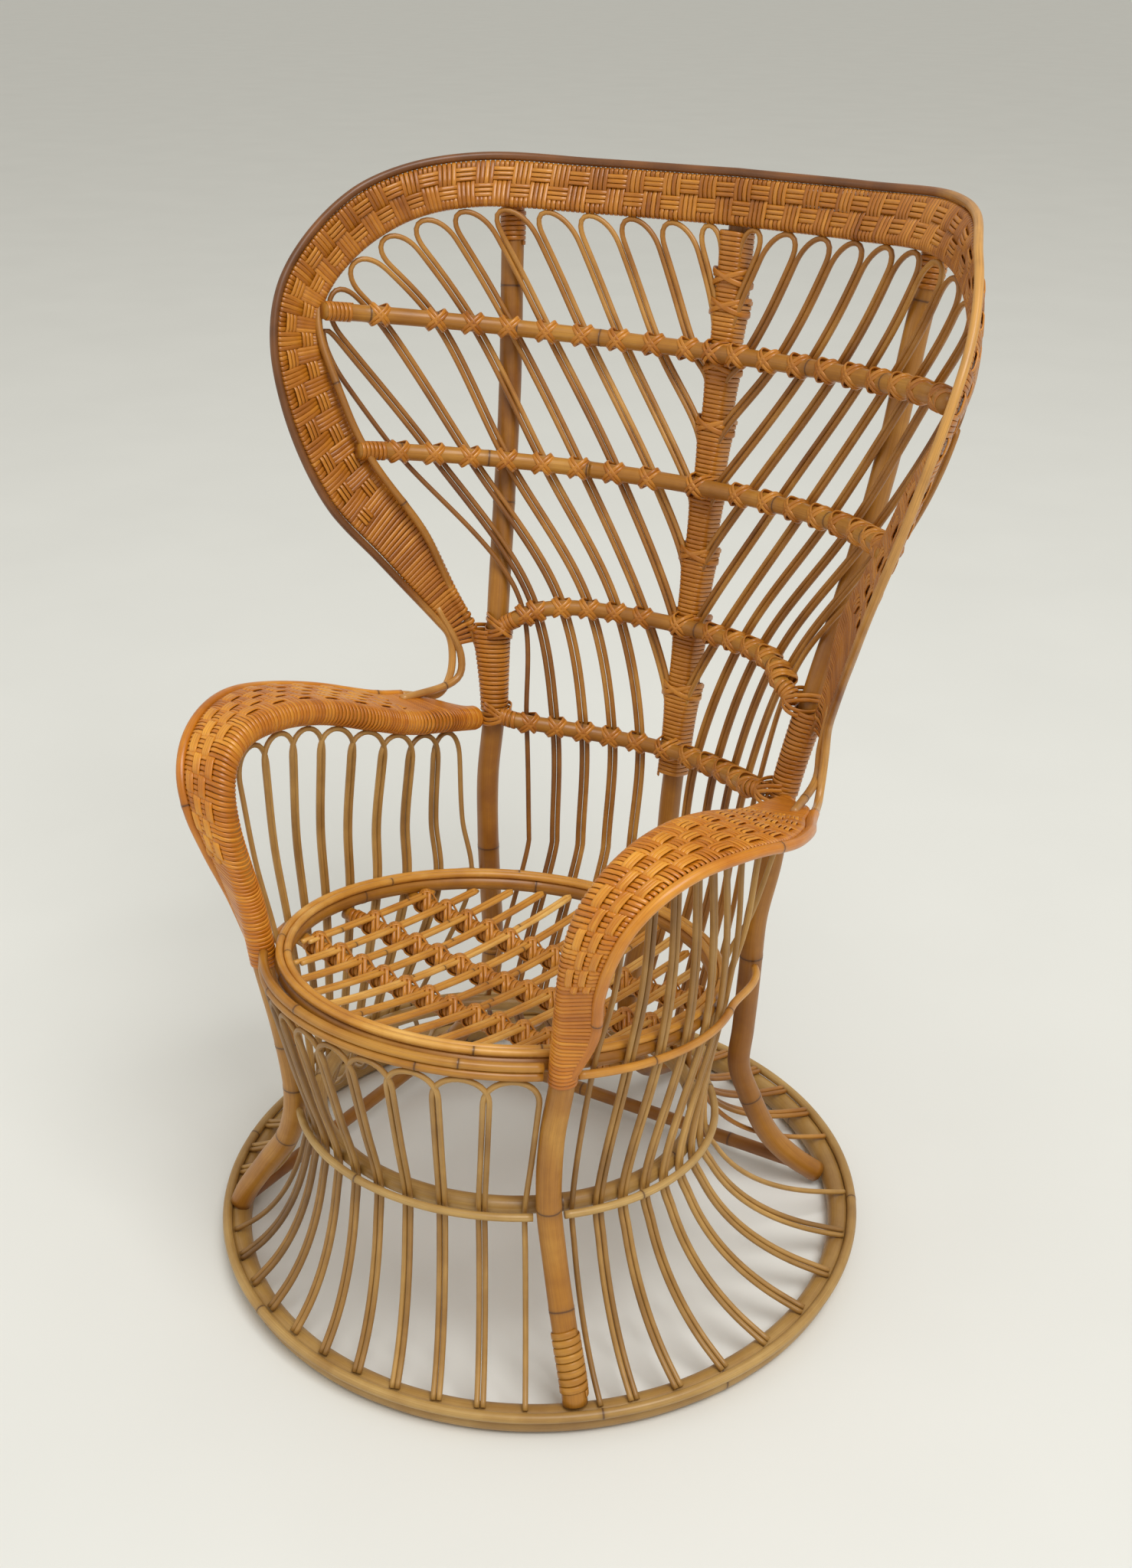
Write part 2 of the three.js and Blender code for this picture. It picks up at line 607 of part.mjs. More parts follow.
// Woven arm panels between the arm pole and the edge cane.
function nearestOn(line, point) {
  let best = line[0];
  for (let i = 1; i < line.length; i += 1) {
    const here = new THREE.Line3(line[i - 1], line[i]).closestPointToPoint(point, true, new THREE.Vector3());
    if (here.distanceTo(point) < best.distanceTo(point)) best = here;
  }
  return best;
}
const armCanes = { left: armCaneLeft, right: armCaneRight };
const panelSteps = 24;
const panelStart = 0.09;
const panelGap = 1.8;
for (const [side, name] of [[1, 'left'], [-1, 'right']]) {
  const inner = new THREE.CatmullRomCurve3(armPole.map((p) => vector(p, side)));
  const outer = new THREE.CatmullRomCurve3(armCane.map((p) => vector(p, side)));
  const edgeA = [];
  const edgeB = [];
  for (let i = 0; i <= panelSteps; i += 1) {
    const t = THREE.MathUtils.lerp(panelStart, 1, i / panelSteps);
    const a = nearestOn(frontLegs[name], inner.getPoint(t));
    const b = nearestOn(armCanes[name], outer.getPoint(t));
    const across = new THREE.Vector3().subVectors(b, a).normalize();
    edgeA.push(a.clone().addScaledVector(across, legRadius + panelGap));
    edgeB.push(b.clone().addScaledVector(across, -rimTube - panelGap));
  }
  addPart(`arm_panel_${name}`, strip(edgeA, edgeB, armPanelThickness), peel);
}

// Back rails, on the sitter's side of the canes.
const railIn = -(facet(railTube, poleSides) + bandCane + 1.5 * clearance);
const lowRailIn = -(lowRailTube + caneRadius + 3 * clearance);
const lowRailEnd = poleOut - facet(uprightRadius, poleSides) - facet(lowRailTube, poleSides) - clearance;
function railLine(s, w, out, steps) {
  const points = [];
  for (let i = -steps; i <= steps; i += 1) {
    const f = i / steps;
    points.push(onBack(f * s, w(f), out(f)));
  }
  return points;
}
const railReach = [497, 440];
for (let k = 0; k < 2; k += 1) {
  const points = railLine(railReach[k], () => railHeights[k], () => railIn, railSteps);
  addPart(`back_rail_${k + 1}`, tube(points, railTube, poleSides), pole);
}
const lowRailSteps = 9;
const lowOut = (f) => THREE.MathUtils.lerp(lowRailIn, lowRailEnd, ease(0.9, 1, Math.abs(f)));
const archHeight = (f) => railHeights[2] - archDrop * Math.abs(f) ** 6 - archSag * (1 - f * f);
const dipHeight = (f) => railHeights[3] + lowRailRise - lowRailDip * (1 - f * f);
const archEnd = uprightAt(railHeights[2] - archDrop);
const lowRails = [railLine(archEnd, archHeight, lowOut, lowRailSteps)];
lowRails.push(railLine(uprightAt(railHeights[3]), dipHeight, lowOut, lowRailSteps));
addPart('back_rail_3', tube(lowRails[0], lowRailTube, poleSides), pole);
addPart('back_rail_4', tube(lowRails[1], lowRailTube, poleSides), pole);

// A row of hairpins as one cane: up one leg, over the loop, down the next, and close round its foot.
const pairGap = caneRadius + clearance / 2;
function hairpinRow(stems) {
  const points = [];
  const lift = loopDepth / 0.75;
  stems.forEach((stem, k) => {
    const first = k === 0;
    const last = k === stems.length - 1;
    const spread = first || last ? 0 : pairGap;
    const left = stem.line.map((p, i) => p.clone().addScaledVector(stem.aside[i], -spread));
    const right = stem.line.map((p, i) => p.clone().addScaledVector(stem.aside[i], spread));
    if (!first) {
      const top = points[points.length - 1].clone();
      const rising = top.clone().sub(points[points.length - 2]).setLength(lift);
      const falling = left[0].clone().sub(left[1]).setLength(lift);
      const loop = new THREE.CubicBezierCurve3(top, rising.add(top), falling.add(left[0]), left[0].clone());
      for (const t of [0.24, 0.5, 0.76]) points.push(loop.getPoint(t));
      points.push(...left);
    }
    if (!first && !last) {
      const foot = left.length - 1;
      const down = left[foot].clone().sub(left[foot - 1]).setLength(pairGap);
      points.push(left[foot].clone().add(down), right[foot].clone().add(down));
    }
    if (!last) points.push(...right.reverse());
  });
  return points;
}

// The lower run of a stem: from the waist, flaring out to the base ring's top, beside the bead ring.
const caneEnd = beadRadius - beadTube - 2 * clearance - 2 * pairGap;
const caneEndHeight = 2 * baseCentreZ + caneRadius + pairGap;
const flareBend = { out: 0.2, up: 0.28 };
const flareSteps = 3;
function flare(waistAngle, baseAngle) {
  const waist = onMid(waistCane, waistAngle);
  const foot = onBase(caneEnd, baseAngle, caneEndHeight);
  const bend = waist.clone().lerp(foot, flareBend.out);
  bend.z = THREE.MathUtils.lerp(foot.z, waist.z, flareBend.up);
  return new THREE.QuadraticBezierCurve3(waist, bend, foot).getPoints(flareSteps);
}

function roundStem(upper, waistAngle, baseAngle) {
  const line = [...upper, ...flare(waistAngle, baseAngle)];
  const aside = line.map((p, i) => {
    const before = line[Math.max(i - 1, 0)];
    const after = line[Math.min(i + 1, line.length - 1)];
    const along = new THREE.Vector3().subVectors(after, before);
    const out = new THREE.Vector3(p.x, p.y - midCentreY, 0);
    return out.cross(along).normalize().negate();
  });
  return { line, aside };
}

// Front skirt: hairpins under the front rail, closer together toward the right; each fan is
// [middle angle, reach, bow].
const frontStems = [];
const frontFan = { seat: [-7.5, 43.5, 9], waist: [-8.8, 40.9, 8.4], base: [baseTurn, 37.2, 0] };
const fanAngle = ([middle, reach, bow], f) => middle + reach * f + bow * f * f;
const skirtInset = seatTube + 2.2;
const skirtDrop = seatTube + 1 + loopDepth;
for (let k = 0; k < frontCanes; k += 1) {
  const f = (2 * k) / (frontCanes - 1) - 1;
  const top = onSeat(railGrow - skirtInset, fanAngle(frontFan.seat, f), -skirtDrop);
  const waistAngle = fanAngle(frontFan.waist, f);
  const middle = top.clone().lerp(onMid(waistCane, waistAngle), 0.5);
  frontStems.push(roundStem([top, middle], waistAngle, fanAngle(frontFan.base, f)));
}
addPart('front_canes', tube(hairpinRow(frontStems), caneRadius, thinSides), cane);

// Side canes: hairpins under each arm, past the seat ring and the waist to the base.
const sideReach = { arm: [-204, -26], seat: [57, 135], waist: [53, 113], base: 120.8 };
const besideFoot = 4;
const sideBulge = 5;
const armFrom = armSteps / 2;
const baseCrowding = 1.25;
function underArm(line, f) {
  const y = THREE.MathUtils.lerp(sideReach.arm[0], line[line.length - 1].y + sideReach.arm[1], f);
  const i = line.findIndex((p, k) => k > armFrom && p.y > y && line[k - 1].y <= y);
  const place = line[i - 1].clone().lerp(line[i], (y - line[i - 1].y) / (line[i].y - line[i - 1].y));
  place.z -= legRadius + caneRadius + 6 * clearance + loopDepth;
  return place;
}
for (const [side, name] of [[1, 'left'], [-1, 'right']]) {
  const stems = [];
  for (let k = 0; k < sideCanes; k += 1) {
    const f = k / (sideCanes - 1);
    const top = underArm(frontLegs[name], f);
    const seat = onSeat(seatCane, side * THREE.MathUtils.lerp(...sideReach.seat, f), -4);
    const middle = top.clone().lerp(seat, 0.5);
    middle.x += sideBulge * side;
    const waistAngle = side * THREE.MathUtils.lerp(...sideReach.waist, f);
    const from = side * frontFootAngle + baseTurn + side * besideFoot;
    const baseAngle = THREE.MathUtils.lerp(from, side * sideReach.base, f ** baseCrowding);
    stems.push(roundStem([top, middle, seat], waistAngle, baseAngle));
  }
  addPart(`side_canes_${name}`, tube(hairpinRow(stems), caneRadius, thinSides), cane);
}

// Back canes: hairpins from the band sweep in to the centre pole, or down behind the seat to the base.
const edgeSteps = 120;
const loopSamples = [];
for (let i = 0; i <= edgeSteps; i += 1) loopSamples.push(flatInset(i / edgeSteps, bandWidth, caneRadius + clearance));
function edgeAt(distance) {
  let length = 0;
  for (let i = 1; i < loopSamples.length; i += 1) {
    const a = loopSamples[i - 1];
    const b = loopSamples[i];
    const step = Math.hypot(b[0] - a[0], b[1] - a[1]);
    if (length + step >= distance) {
      const t = (distance - length) / step;
      return [THREE.MathUtils.lerp(a[0], b[0], t), THREE.MathUtils.lerp(a[1], b[1], t)];
    }
    length += step;
  }
  return loopSamples[loopSamples.length - 1].slice(0, 2);
}
// Where cane n of one half crosses each rail, and how high it meets the centre pole.
const crossingStart = [-56, -163, -192, -246];
const crossingPitch = [45.2, 45.7, 35.5, 36];
const crossingLast = [27, 0, -20, 0];
const firstCrossing = [2, 4, 7, 8];
const lastCrossing = [10, 12, 12, 12];
const lowHeight = 410;
const lowStart = -228;
const lowPitch = 33;
const meetTop = 1134;
const meetPitch = 60;
const meetSpread = 2;
function crossing(k, n) {
  const last = n === lastCrossing[k] ? crossingLast[k] : 0;
  return crossingStart[k] + crossingPitch[k] * n + last;
}
const poleMeet = (n) => meetTop - meetPitch * Math.max(n, 0.5) - meetSpread * n * n;
const meetReach = 10;
const shortCanes = backCanes - longBackCanes;
const rear = 180;
const rearPitch = { waist: 8.5, base: 8.4 };
const leastRun = 34;
const backStep = 105;

function backStem(n) {
  const [topS, topW] = edgeAt(Math.max(topCaneStart, topCanePitch * n));
  const flat = [[topS, topW]];
  for (let k = 0; k < railHeights.length; k += 1) {
    if (n >= firstCrossing[k] && topW > railHeights[k] + leastRun) flat.push([crossing(k, n), railHeights[k]]);
  }
  if (n < shortCanes) flat.push([meetReach, poleMeet(n)]);
  else flat.push([lowStart + lowPitch * n, lowHeight]);
  const drawn = new THREE.CatmullRomCurve3(flat.map(([s, w]) => new THREE.Vector3(s, w, 0)), false, 'centripetal');
  const length = drawn.getLength();
  const steps = Math.max(2, Math.round(length / backStep));
  const start = Math.min(loopDepth / length, 0.5);
  const line = [];
  const aside = [];
  for (let i = 0; i <= steps; i += 1) {
    const t = THREE.MathUtils.lerp(start, 1, i / steps);
    const p = drawn.getPointAt(t);
    const tangent = drawn.getTangentAt(t);
    const here = onBack(p.x, p.y);
    line.push(here);
    aside.push(onBack(p.x - tangent.y, p.y + tangent.x).sub(here).normalize());
  }
  if (n >= shortCanes) {
    const place = n - shortCanes + 1;
    const lower = roundStem([], rear - rearPitch.waist * place, rear - rearPitch.base * place);
    line.push(...lower.line);
    aside.push(...lower.aside);
  }
  return { line, aside };
}
const backStems = [];
for (let n = 0; n < backCanes; n += 1) backStems.push(backStem(n));
const backLine = hairpinRow(backStems);
addPart('back_canes_left', tube(backLine, caneRadius, thinSides), cane);
const backMirror = backLine.map((p) => new THREE.Vector3(-p.x, p.y, p.z)).reverse();
addPart('back_canes_right', tube(backMirror, caneRadius, thinSides), cane);

// Bindings: flat peel wound round the left front foot and the uprights.
function lengthTo(line, test) {
  let length = 0;
  for (let i = 1; i < line.length; i += 1) {
    if (test(line[i])) return length;
    length += line[i].distanceTo(line[i - 1]);
  }
  return length;
}
const riseOf = (p) => p.y * Math.sin(leanAngle) + p.z * Math.cos(leanAngle);
const footWrapLow = 12;
const elbowWrapHeight = 664;
const fineSteps = 400;
winding('foot_binding_left', frontLegs.left, legRadius, footWrapTurns, footWrapLow);
for (const name of ['left', 'right']) {
  const upright = uprights[name];
  const elbowStart = lengthTo(smooth(upright, fineSteps), (p) => riseOf(p) < elbowWrapHeight);
  winding(`elbow_binding_${name}`, upright, uprightRadius, elbowWrapTurns, elbowStart);
}

// The model's origin is at the bottom centre of its box.
const box = new THREE.Box3().setFromObject(chair);
const middle = box.getCenter(new THREE.Vector3());
chair.position.set(-middle.x, -middle.y, -box.min.z);
const model = new THREE.Group();
model.add(chair);

export default model;
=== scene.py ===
# %% [markdown]
# A peacock chair is made of rattan, a climbing palm. Thick stems are steamed and bent into the frame,
# thin round canes are cut from the stem's core, and the glossy skin is split off as flat peel. The peel
# is woven over the arms and the top of the back, and it ties every joint. This lesson dresses a packed
# frame of plain solids with those three materials. The frame is loaded first, and its solids are kept, so
# that their boxes can be read.

# %% Load the frame
import itertools
import math

import bpy
import numpy as np
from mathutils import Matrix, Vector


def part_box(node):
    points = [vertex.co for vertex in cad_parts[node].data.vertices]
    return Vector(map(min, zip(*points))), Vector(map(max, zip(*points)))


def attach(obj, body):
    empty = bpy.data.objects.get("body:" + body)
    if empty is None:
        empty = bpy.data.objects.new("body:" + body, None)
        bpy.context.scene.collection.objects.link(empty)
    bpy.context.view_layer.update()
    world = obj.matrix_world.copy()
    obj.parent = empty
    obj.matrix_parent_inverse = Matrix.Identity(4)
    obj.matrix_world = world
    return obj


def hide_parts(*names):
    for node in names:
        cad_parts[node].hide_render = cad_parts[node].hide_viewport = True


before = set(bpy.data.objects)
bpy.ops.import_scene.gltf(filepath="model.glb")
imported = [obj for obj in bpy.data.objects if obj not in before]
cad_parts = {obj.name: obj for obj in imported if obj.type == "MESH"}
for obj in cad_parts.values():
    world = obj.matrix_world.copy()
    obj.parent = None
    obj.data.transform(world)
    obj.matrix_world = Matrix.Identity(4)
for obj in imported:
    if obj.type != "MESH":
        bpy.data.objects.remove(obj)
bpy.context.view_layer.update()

# %% [markdown]
# All sizes below are millimetres in the chair's own frame: X to the sitter's left, Y to the rear, Z up,
# with the middle of the floor ring at X = Y = 0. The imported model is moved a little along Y, so the shift
# is read from the floor ring's box.

# %% Shift between the chair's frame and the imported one
ring_low, ring_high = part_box("base_ring")
row_shift = np.array([0.0, (ring_low[1] + ring_high[1]) / 2, 0.0])
metres = 0.001
chance = np.random.default_rng(11)
print("shift along Y", round(float(row_shift[1]), 5), "m")

# %% [markdown]
# The photograph is a portrait taken from the chair's front left, from a little above its top. The camera
# could be set by eye, but it was worked out instead: it stands where the three rounds of floor ring, waist
# and seat have the same ellipses as in the photograph.

# %% Camera
camera_place = (1.018, -1.4399, 1.4414)
camera_turn = 34.5
camera_down = 26.24
camera_roll = 0.08
focal_pixels = 2308.8
image_height = 2048
sensor_height = 36.0


def new_object(name, data):
    """An object that shows the data, linked into the scene."""
    made = bpy.data.objects.new(name, data)
    bpy.context.collection.objects.link(made)
    return made


camera_data = bpy.data.cameras.new("photo_camera")
camera_data.sensor_fit = "VERTICAL"
camera_data.sensor_height = sensor_height
camera_data.lens = sensor_height * focal_pixels / image_height
camera = new_object("photo_camera", camera_data)
camera.location = camera_place
camera.rotation_euler = [math.radians(a) for a in (90 - camera_down, camera_roll, camera_turn)]
bpy.context.scene.camera = camera
print("lens", round(camera_data.lens, 2), "mm")

# %% [markdown]
# Every piece is a bundle of strands: rings of points set along a path and joined by faces. A bevelled curve
# would be quicker to write, but it can't carry what rattan needs. Here each strand keeps its own tone, so
# that neighbours differ as split canes do, and a knot value that marks the dark scars where leaves grew.
# The UV runs round the strand and along it, in millimetres, so that fibres can follow the strand.

# %% Strands
class Bundle:
    """Strands gathered for one mesh; each is a tube of rings with flat ends, or a closed loop."""

    def __init__(self):
        self.points = []
        self.corners = []
        self.sizes = []
        self.uv = []
        self.tone = []
        self.knot = []
        self.count = 0

    def add(self, rings, tone=0.5, knot=0.0, closed=False):
        """Adds rings of shape (strands, rows, sides, 3), one tone and knot for all, a strand or a row."""
        rings = np.asarray(rings, float)
        if rings.ndim == 3:
            rings = rings[None]
        index = self.count + np.arange(rings[..., 0].size).reshape(rings.shape[:3])
        self.count += index.size
        self.points.append(rings.reshape(-1, 3))
        self.add_faces(index, rings, closed)
        for values, store in ((tone, self.tone), (knot, self.knot)):
            values = np.asarray(values, float)
            if values.ndim == 1:
                values = values[:, None]
            if values.ndim:
                values = values[..., None]
            store.append(np.broadcast_to(values, index.shape).reshape(-1))

    def add_faces(self, index, rings, closed):
        """Quads from each ring to the next, with their UV, and a flat cap on each open end."""
        strands, rows, sides = index.shape
        runs = rows if closed else rows - 1
        side = np.arange(sides)
        turn = (side + 1) % sides
        here = index[:, :runs]
        ahead = index[:, (np.arange(runs) + 1) % rows]
        quads = np.stack([here, here[:, :, turn], ahead[:, :, turn], ahead], axis=-1)
        middle = rings.mean(axis=2)
        steps = np.linalg.norm(np.roll(middle, -1, axis=1) - middle, axis=-1)
        along = np.concatenate([np.zeros((strands, 1)), np.cumsum(steps, axis=1)], axis=1)
        girth = np.linalg.norm(rings[:, :, 1] - rings[:, :, 0], axis=-1).mean()
        low = np.broadcast_to(along[:, :runs, None], here.shape)
        high = np.broadcast_to(along[:, 1:runs + 1, None], here.shape)
        left = np.broadcast_to(side * girth, here.shape)
        uv = np.stack([left, low, left + girth, low, left + girth, high, left, high], axis=-1)
        self.corners.append(quads.reshape(-1))
        self.sizes.append(np.full(here.size, 4))
        self.uv.append(uv.reshape(-1, 2))
        if not closed:
            caps = np.concatenate([index[:, 0, ::-1], index[:, -1]])
            self.corners.append(caps.reshape(-1))
            self.sizes.append(np.full(2 * strands, sides))
            self.uv.append(np.zeros((caps.size, 2)))


trial = Bundle()
trial.add(np.zeros((4, 6, 3)))
print("a strand of 4 rings of 6 has", trial.count, "points and", trial.sizes[0].size, "quads")

# %% [markdown]
# A bundle becomes one object, and whole arrays go into its mesh at once, which is far quicker than a
# loop over faces. The object stays at the origin with its place in its mesh, rides on the chair's only
# body, and hides the plain solids that it stands for.

# %% Strands to piece
def make_piece(bundle, name, material, slot, *nodes):
    mesh = bpy.data.meshes.new(name)
    points = np.concatenate(bundle.points) * metres + row_shift
    corners = np.concatenate(bundle.corners)
    sizes = np.concatenate(bundle.sizes)
    starts = np.concatenate([[0], np.cumsum(sizes)[:-1]])
    mesh.vertices.add(len(points))
    mesh.vertices.foreach_set("co", points.astype(np.float32).ravel())
    mesh.loops.add(len(corners))
    mesh.polygons.add(len(sizes))
    mesh.polygons.foreach_set("loop_start", starts.astype(np.int32))
    mesh.polygons.foreach_set("vertices", corners.astype(np.int32))
    mesh.update(calc_edges=True)
    layer = mesh.uv_layers.new(name="strand")
    layer.data.foreach_set("uv", np.concatenate(bundle.uv).astype(np.float32).ravel())
    for label, values in (("tone", bundle.tone), ("knot", bundle.knot)):
        layer = mesh.attributes.new(label, "FLOAT", "POINT")
        layer.data.foreach_set("value", np.concatenate(values).astype(np.float32))
    mesh.polygons.foreach_set("use_smooth", np.ones(len(sizes), bool))
    mesh.materials.append(material)
    piece = new_object(name, mesh)
    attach(piece, "root")
    if nodes:
        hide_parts(*nodes)
    print(f"{name}: {int((sizes - 2).sum())} triangles")


print("one metre is", round(1 / metres), "units")

# %% [markdown]
# A bent cane follows a smooth curve through a few places, as it does between the pegs of a bending jig.
# A plain cubic through the same places would swing out between them, so the curve is a centripetal
# Catmull-Rom spline, which passes through its points without overshooting.

# %% Paths
def unit(vectors):
    """Vectors divided by their own lengths."""
    return vectors / np.maximum(np.linalg.norm(vectors, axis=-1, keepdims=True), 1e-9)


def sampled(at, places, rows):
    """Rows of numbers known at some places, read off at others by straight steps between them."""
    return np.stack([np.interp(at, places, column) for column in rows.T], axis=-1)


def distance_along(path):
    """Running length of a polyline, starting at 0."""
    steps = np.linalg.norm(np.diff(path, axis=0), axis=1)
    return np.concatenate([[0.0], np.cumsum(steps)])


def at_distance(path, distance):
    """Points of a polyline at given running lengths."""
    return sampled(distance, distance_along(path), path)


def respace(path, spacing):
    """A polyline with its points set again at even running lengths of about the spacing."""
    whole = distance_along(path)[-1]
    count = max(int(round(whole / spacing)), 2)
    return at_distance(path, np.linspace(0, whole, count + 1))


def spline(points, spacing, per_span=24):
    """Cubic Hermite spans whose end slopes come from knots spaced by the square root of chord length."""
    p = np.asarray(points, float)
    p = np.vstack([2 * p[0] - p[1], p, 2 * p[-1] - p[-2]])
    gap = np.sqrt(np.linalg.norm(np.diff(p, axis=0), axis=1))[:, None]
    before, here, after = gap[:-2], gap[1:-1], gap[2:]
    p0, p1, p2, p3 = p[:-3], p[1:-2], p[2:-1], p[3:]
    leave = here * ((p1 - p0) / before - (p2 - p0) / (before + here) + (p2 - p1) / here)
    arrive = here * ((p2 - p1) / here - (p3 - p1) / (here + after) + (p3 - p2) / after)
    t = np.linspace(0, 1, per_span + 1)[:-1, None, None]
    curve = (2 * t ** 3 - 3 * t ** 2 + 1) * p1 + (t ** 3 - 2 * t ** 2 + t) * leave
    curve = curve + (3 * t ** 2 - 2 * t ** 3) * p2 + (t ** 3 - t ** 2) * arrive
    curve = curve.transpose(1, 0, 2).reshape(-1, p.shape[1])
    return respace(np.vstack([curve, p[-2]]), spacing)


bow = spline([[0, 0, 0], [50, 30, 0], [100, 0, 0]], 1.0)
print("a cane bowed 30 mm over a span of 100 is", round(distance_along(bow)[-1], 1), "mm long")

# %% [markdown]
# A strand is its section carried along its path. Round canes have a circle for a section, and split peel
# has a flat strip with rounded edges, six points to a ring, because there are thousands of turns of it.

# %% Sections
strip_corners = np.array([[0.5, 0.0], [0.34, 0.5], [-0.34, 0.5], [-0.5, 0.0], [-0.34, -0.5], [0.34, -0.5]])


def sweep(path, section, reference, closed=False):
    """Rings: path point + x * normal + y * side; the normal is the reference turned square to the path."""
    if closed:
        tangent = unit(np.roll(path, -1, axis=-2) - np.roll(path, 1, axis=-2))
    else:
        tangent = unit(np.gradient(path, axis=-2))
    reference = np.broadcast_to(reference, path.shape)
    normal = unit(reference - tangent * (reference * tangent).sum(axis=-1, keepdims=True))
    side = np.cross(tangent, normal)
    x = section[..., 0:1]
    y = section[..., 1:2]
    return path[..., None, :] + x * normal[..., None, :] + y * side[..., None, :]


def round_section(radius, sides):
    """Points (r cos a, r sin a) at even angles; one radius for a whole strand or one for each row."""
    angle = 2 * np.pi * np.arange(sides) / sides
    circle = np.stack([np.cos(angle), np.sin(angle)], axis=-1)
    return np.asarray(radius, float)[..., None, None] * circle


def strip_section(width, thickness):
    """A flat strip of peel: six corners scaled to its width and thickness."""
    return strip_corners * np.array([width, thickness])


print("a strip of peel has", len(strip_corners), "points to a ring")

# %% [markdown]
# Colours are written as they look on screen and turned into linear light by one function. A second small
# function adds a shader node with its settings and links, so that each material reads as a short list.

# %% Material helpers
def linear(hex_colour):
    """Linear RGBA from an sRGB hex colour: v / 12.92 when dark, else ((v + 0.055) / 1.055) ** 2.4."""
    values = [int(hex_colour[i:i + 2], 16) / 255 for i in (1, 3, 5)]
    return (*[v / 12.92 if v <= 0.04045 else ((v + 0.055) / 1.055) ** 2.4 for v in values], 1.0)


def set_inputs(tree, node, inputs):
    """Sets each input of a node to a value, or links it where an output socket is given."""
    for key, value in inputs.items():
        if isinstance(value, bpy.types.NodeSocket):
            tree.links.new(value, node.inputs[key])
        else:
            node.inputs[key].default_value = value


def add_node(tree, kind, settings=None, inputs=None):
    """Adds a node, sets its properties and its inputs."""
    made = tree.nodes.new(kind)
    for key, value in (settings or {}).items():
        setattr(made, key, value)
    set_inputs(tree, made, inputs or {})
    return made


print("half grey on screen is", round(linear("#808080")[0], 3), "in linear light")

# %% [markdown]
# Rattan stems, canes and peel differ in colour, gloss and fibre, so one recipe makes all of them. Long
# fibres are a noise stretched along the strand, some 0.9 mm wide and 60 mm long. Broad stains 70 mm across
# stand for uneven ripeness and sun. The strand's tone moves it between a dark and a light colour, knots
# darken it, and the fibres give a fine bump and a slight change of gloss under the varnish. Photographs of
# grain would repeat from strand to strand, and these patterns don't.

# %% Rattan recipe
stain_size = 70.0
stain_reach = 0.22
streak_share = 0.45
scar_share = 0.75
scar_colour = "#4a2a12"
bump_height = 0.0004
varnish = {"IOR": 1.5, "Coat Weight": 0.15, "Coat Roughness": 0.22}


def rattan(name, dark, middle, light, roughness, fibre_width=0.9, fibre_length=60.0):
    """Varnished rattan: colour from tone, stains and fibres; bump and gloss from the fibres."""
    material = bpy.data.materials.new(name)
    material.use_nodes = True
    tree = material.node_tree
    uv = add_node(tree, "ShaderNodeUVMap", {"uv_map": "strand"}).outputs["UV"]
    tone = add_node(tree, "ShaderNodeAttribute", {"attribute_name": "tone"}).outputs["Fac"]
    knot = add_node(tree, "ShaderNodeAttribute", {"attribute_name": "knot"}).outputs["Fac"]
    space = add_node(tree, "ShaderNodeTexCoord").outputs["Object"]
    fibre_scale = (1 / fibre_width, 1 / fibre_length, 1.0)
    stretched = add_node(tree, "ShaderNodeMapping", inputs={"Vector": uv, "Scale": fibre_scale})
    shifted = add_node(tree, "ShaderNodeVectorMath", {"operation": "ADD"},
                       {0: stretched.outputs["Vector"], 1: tone})
    fibres = add_node(tree, "ShaderNodeTexNoise", inputs={
        "Vector": shifted.outputs[0], "Scale": 1.0, "Detail": 3.0}).outputs["Fac"]
    stains = add_node(tree, "ShaderNodeTexNoise", inputs={
        "Vector": space, "Scale": 1 / (stain_size * metres), "Detail": 4.0, "Roughness": 0.6})
    spread = add_node(tree, "ShaderNodeMapRange", inputs={
        "Value": stains.outputs["Fac"], "From Min": 0.3, "From Max": 0.7,
        "To Min": -stain_reach, "To Max": stain_reach})
    blend = add_node(tree, "ShaderNodeMath", {"operation": "ADD", "use_clamp": True},
                     {0: tone, 1: spread.outputs["Result"]})
    ramp = add_node(tree, "ShaderNodeValToRGB", inputs={"Fac": blend.outputs["Value"]})
    ramp.color_ramp.elements[0].color = linear(dark)
    ramp.color_ramp.elements[1].color = linear(light)
    ramp.color_ramp.elements.new(0.5).color = linear(middle)
    streak = add_node(tree, "ShaderNodeMapRange", inputs={
        "Value": fibres, "From Min": 0.3, "From Max": 0.75, "To Min": 0.0, "To Max": streak_share})
    streaked = add_node(tree, "ShaderNodeMix", {"data_type": "RGBA"}, {
        0: streak.outputs["Result"], 6: ramp.outputs["Color"], 7: linear(dark)})
    scar = add_node(tree, "ShaderNodeMath", {"operation": "MULTIPLY", "use_clamp": True},
                    {0: knot, 1: scar_share})
    knotted = add_node(tree, "ShaderNodeMix", {"data_type": "RGBA"}, {
        0: scar.outputs["Value"], 6: streaked.outputs[2], 7: linear(scar_colour)})
    gloss = add_node(tree, "ShaderNodeMapRange", inputs={
        "Value": fibres, "To Min": roughness - 0.08, "To Max": roughness + 0.12})
    bump = add_node(tree, "ShaderNodeBump", inputs={
        "Height": fibres, "Strength": 0.25, "Distance": bump_height})
    set_inputs(tree, tree.nodes["Principled BSDF"], {
        "Base Color": knotted.outputs[2], "Roughness": gloss.outputs["Result"],
        "Normal": bump.outputs["Normal"], **varnish})
    return material


print("stains", stain_size, "mm across, bump", bump_height / metres, "mm high")

# %% [markdown]
# Whole stems, canes and peel each get a finish, named for what it is. Stems show broad fibres, canes cut
# from the core show finer ones, and peel is the smooth skin, so it shines most. The wood near the floor is
# worn and paler, the rim is stained dark, and the arms have gone honey-coloured where hands rub them.

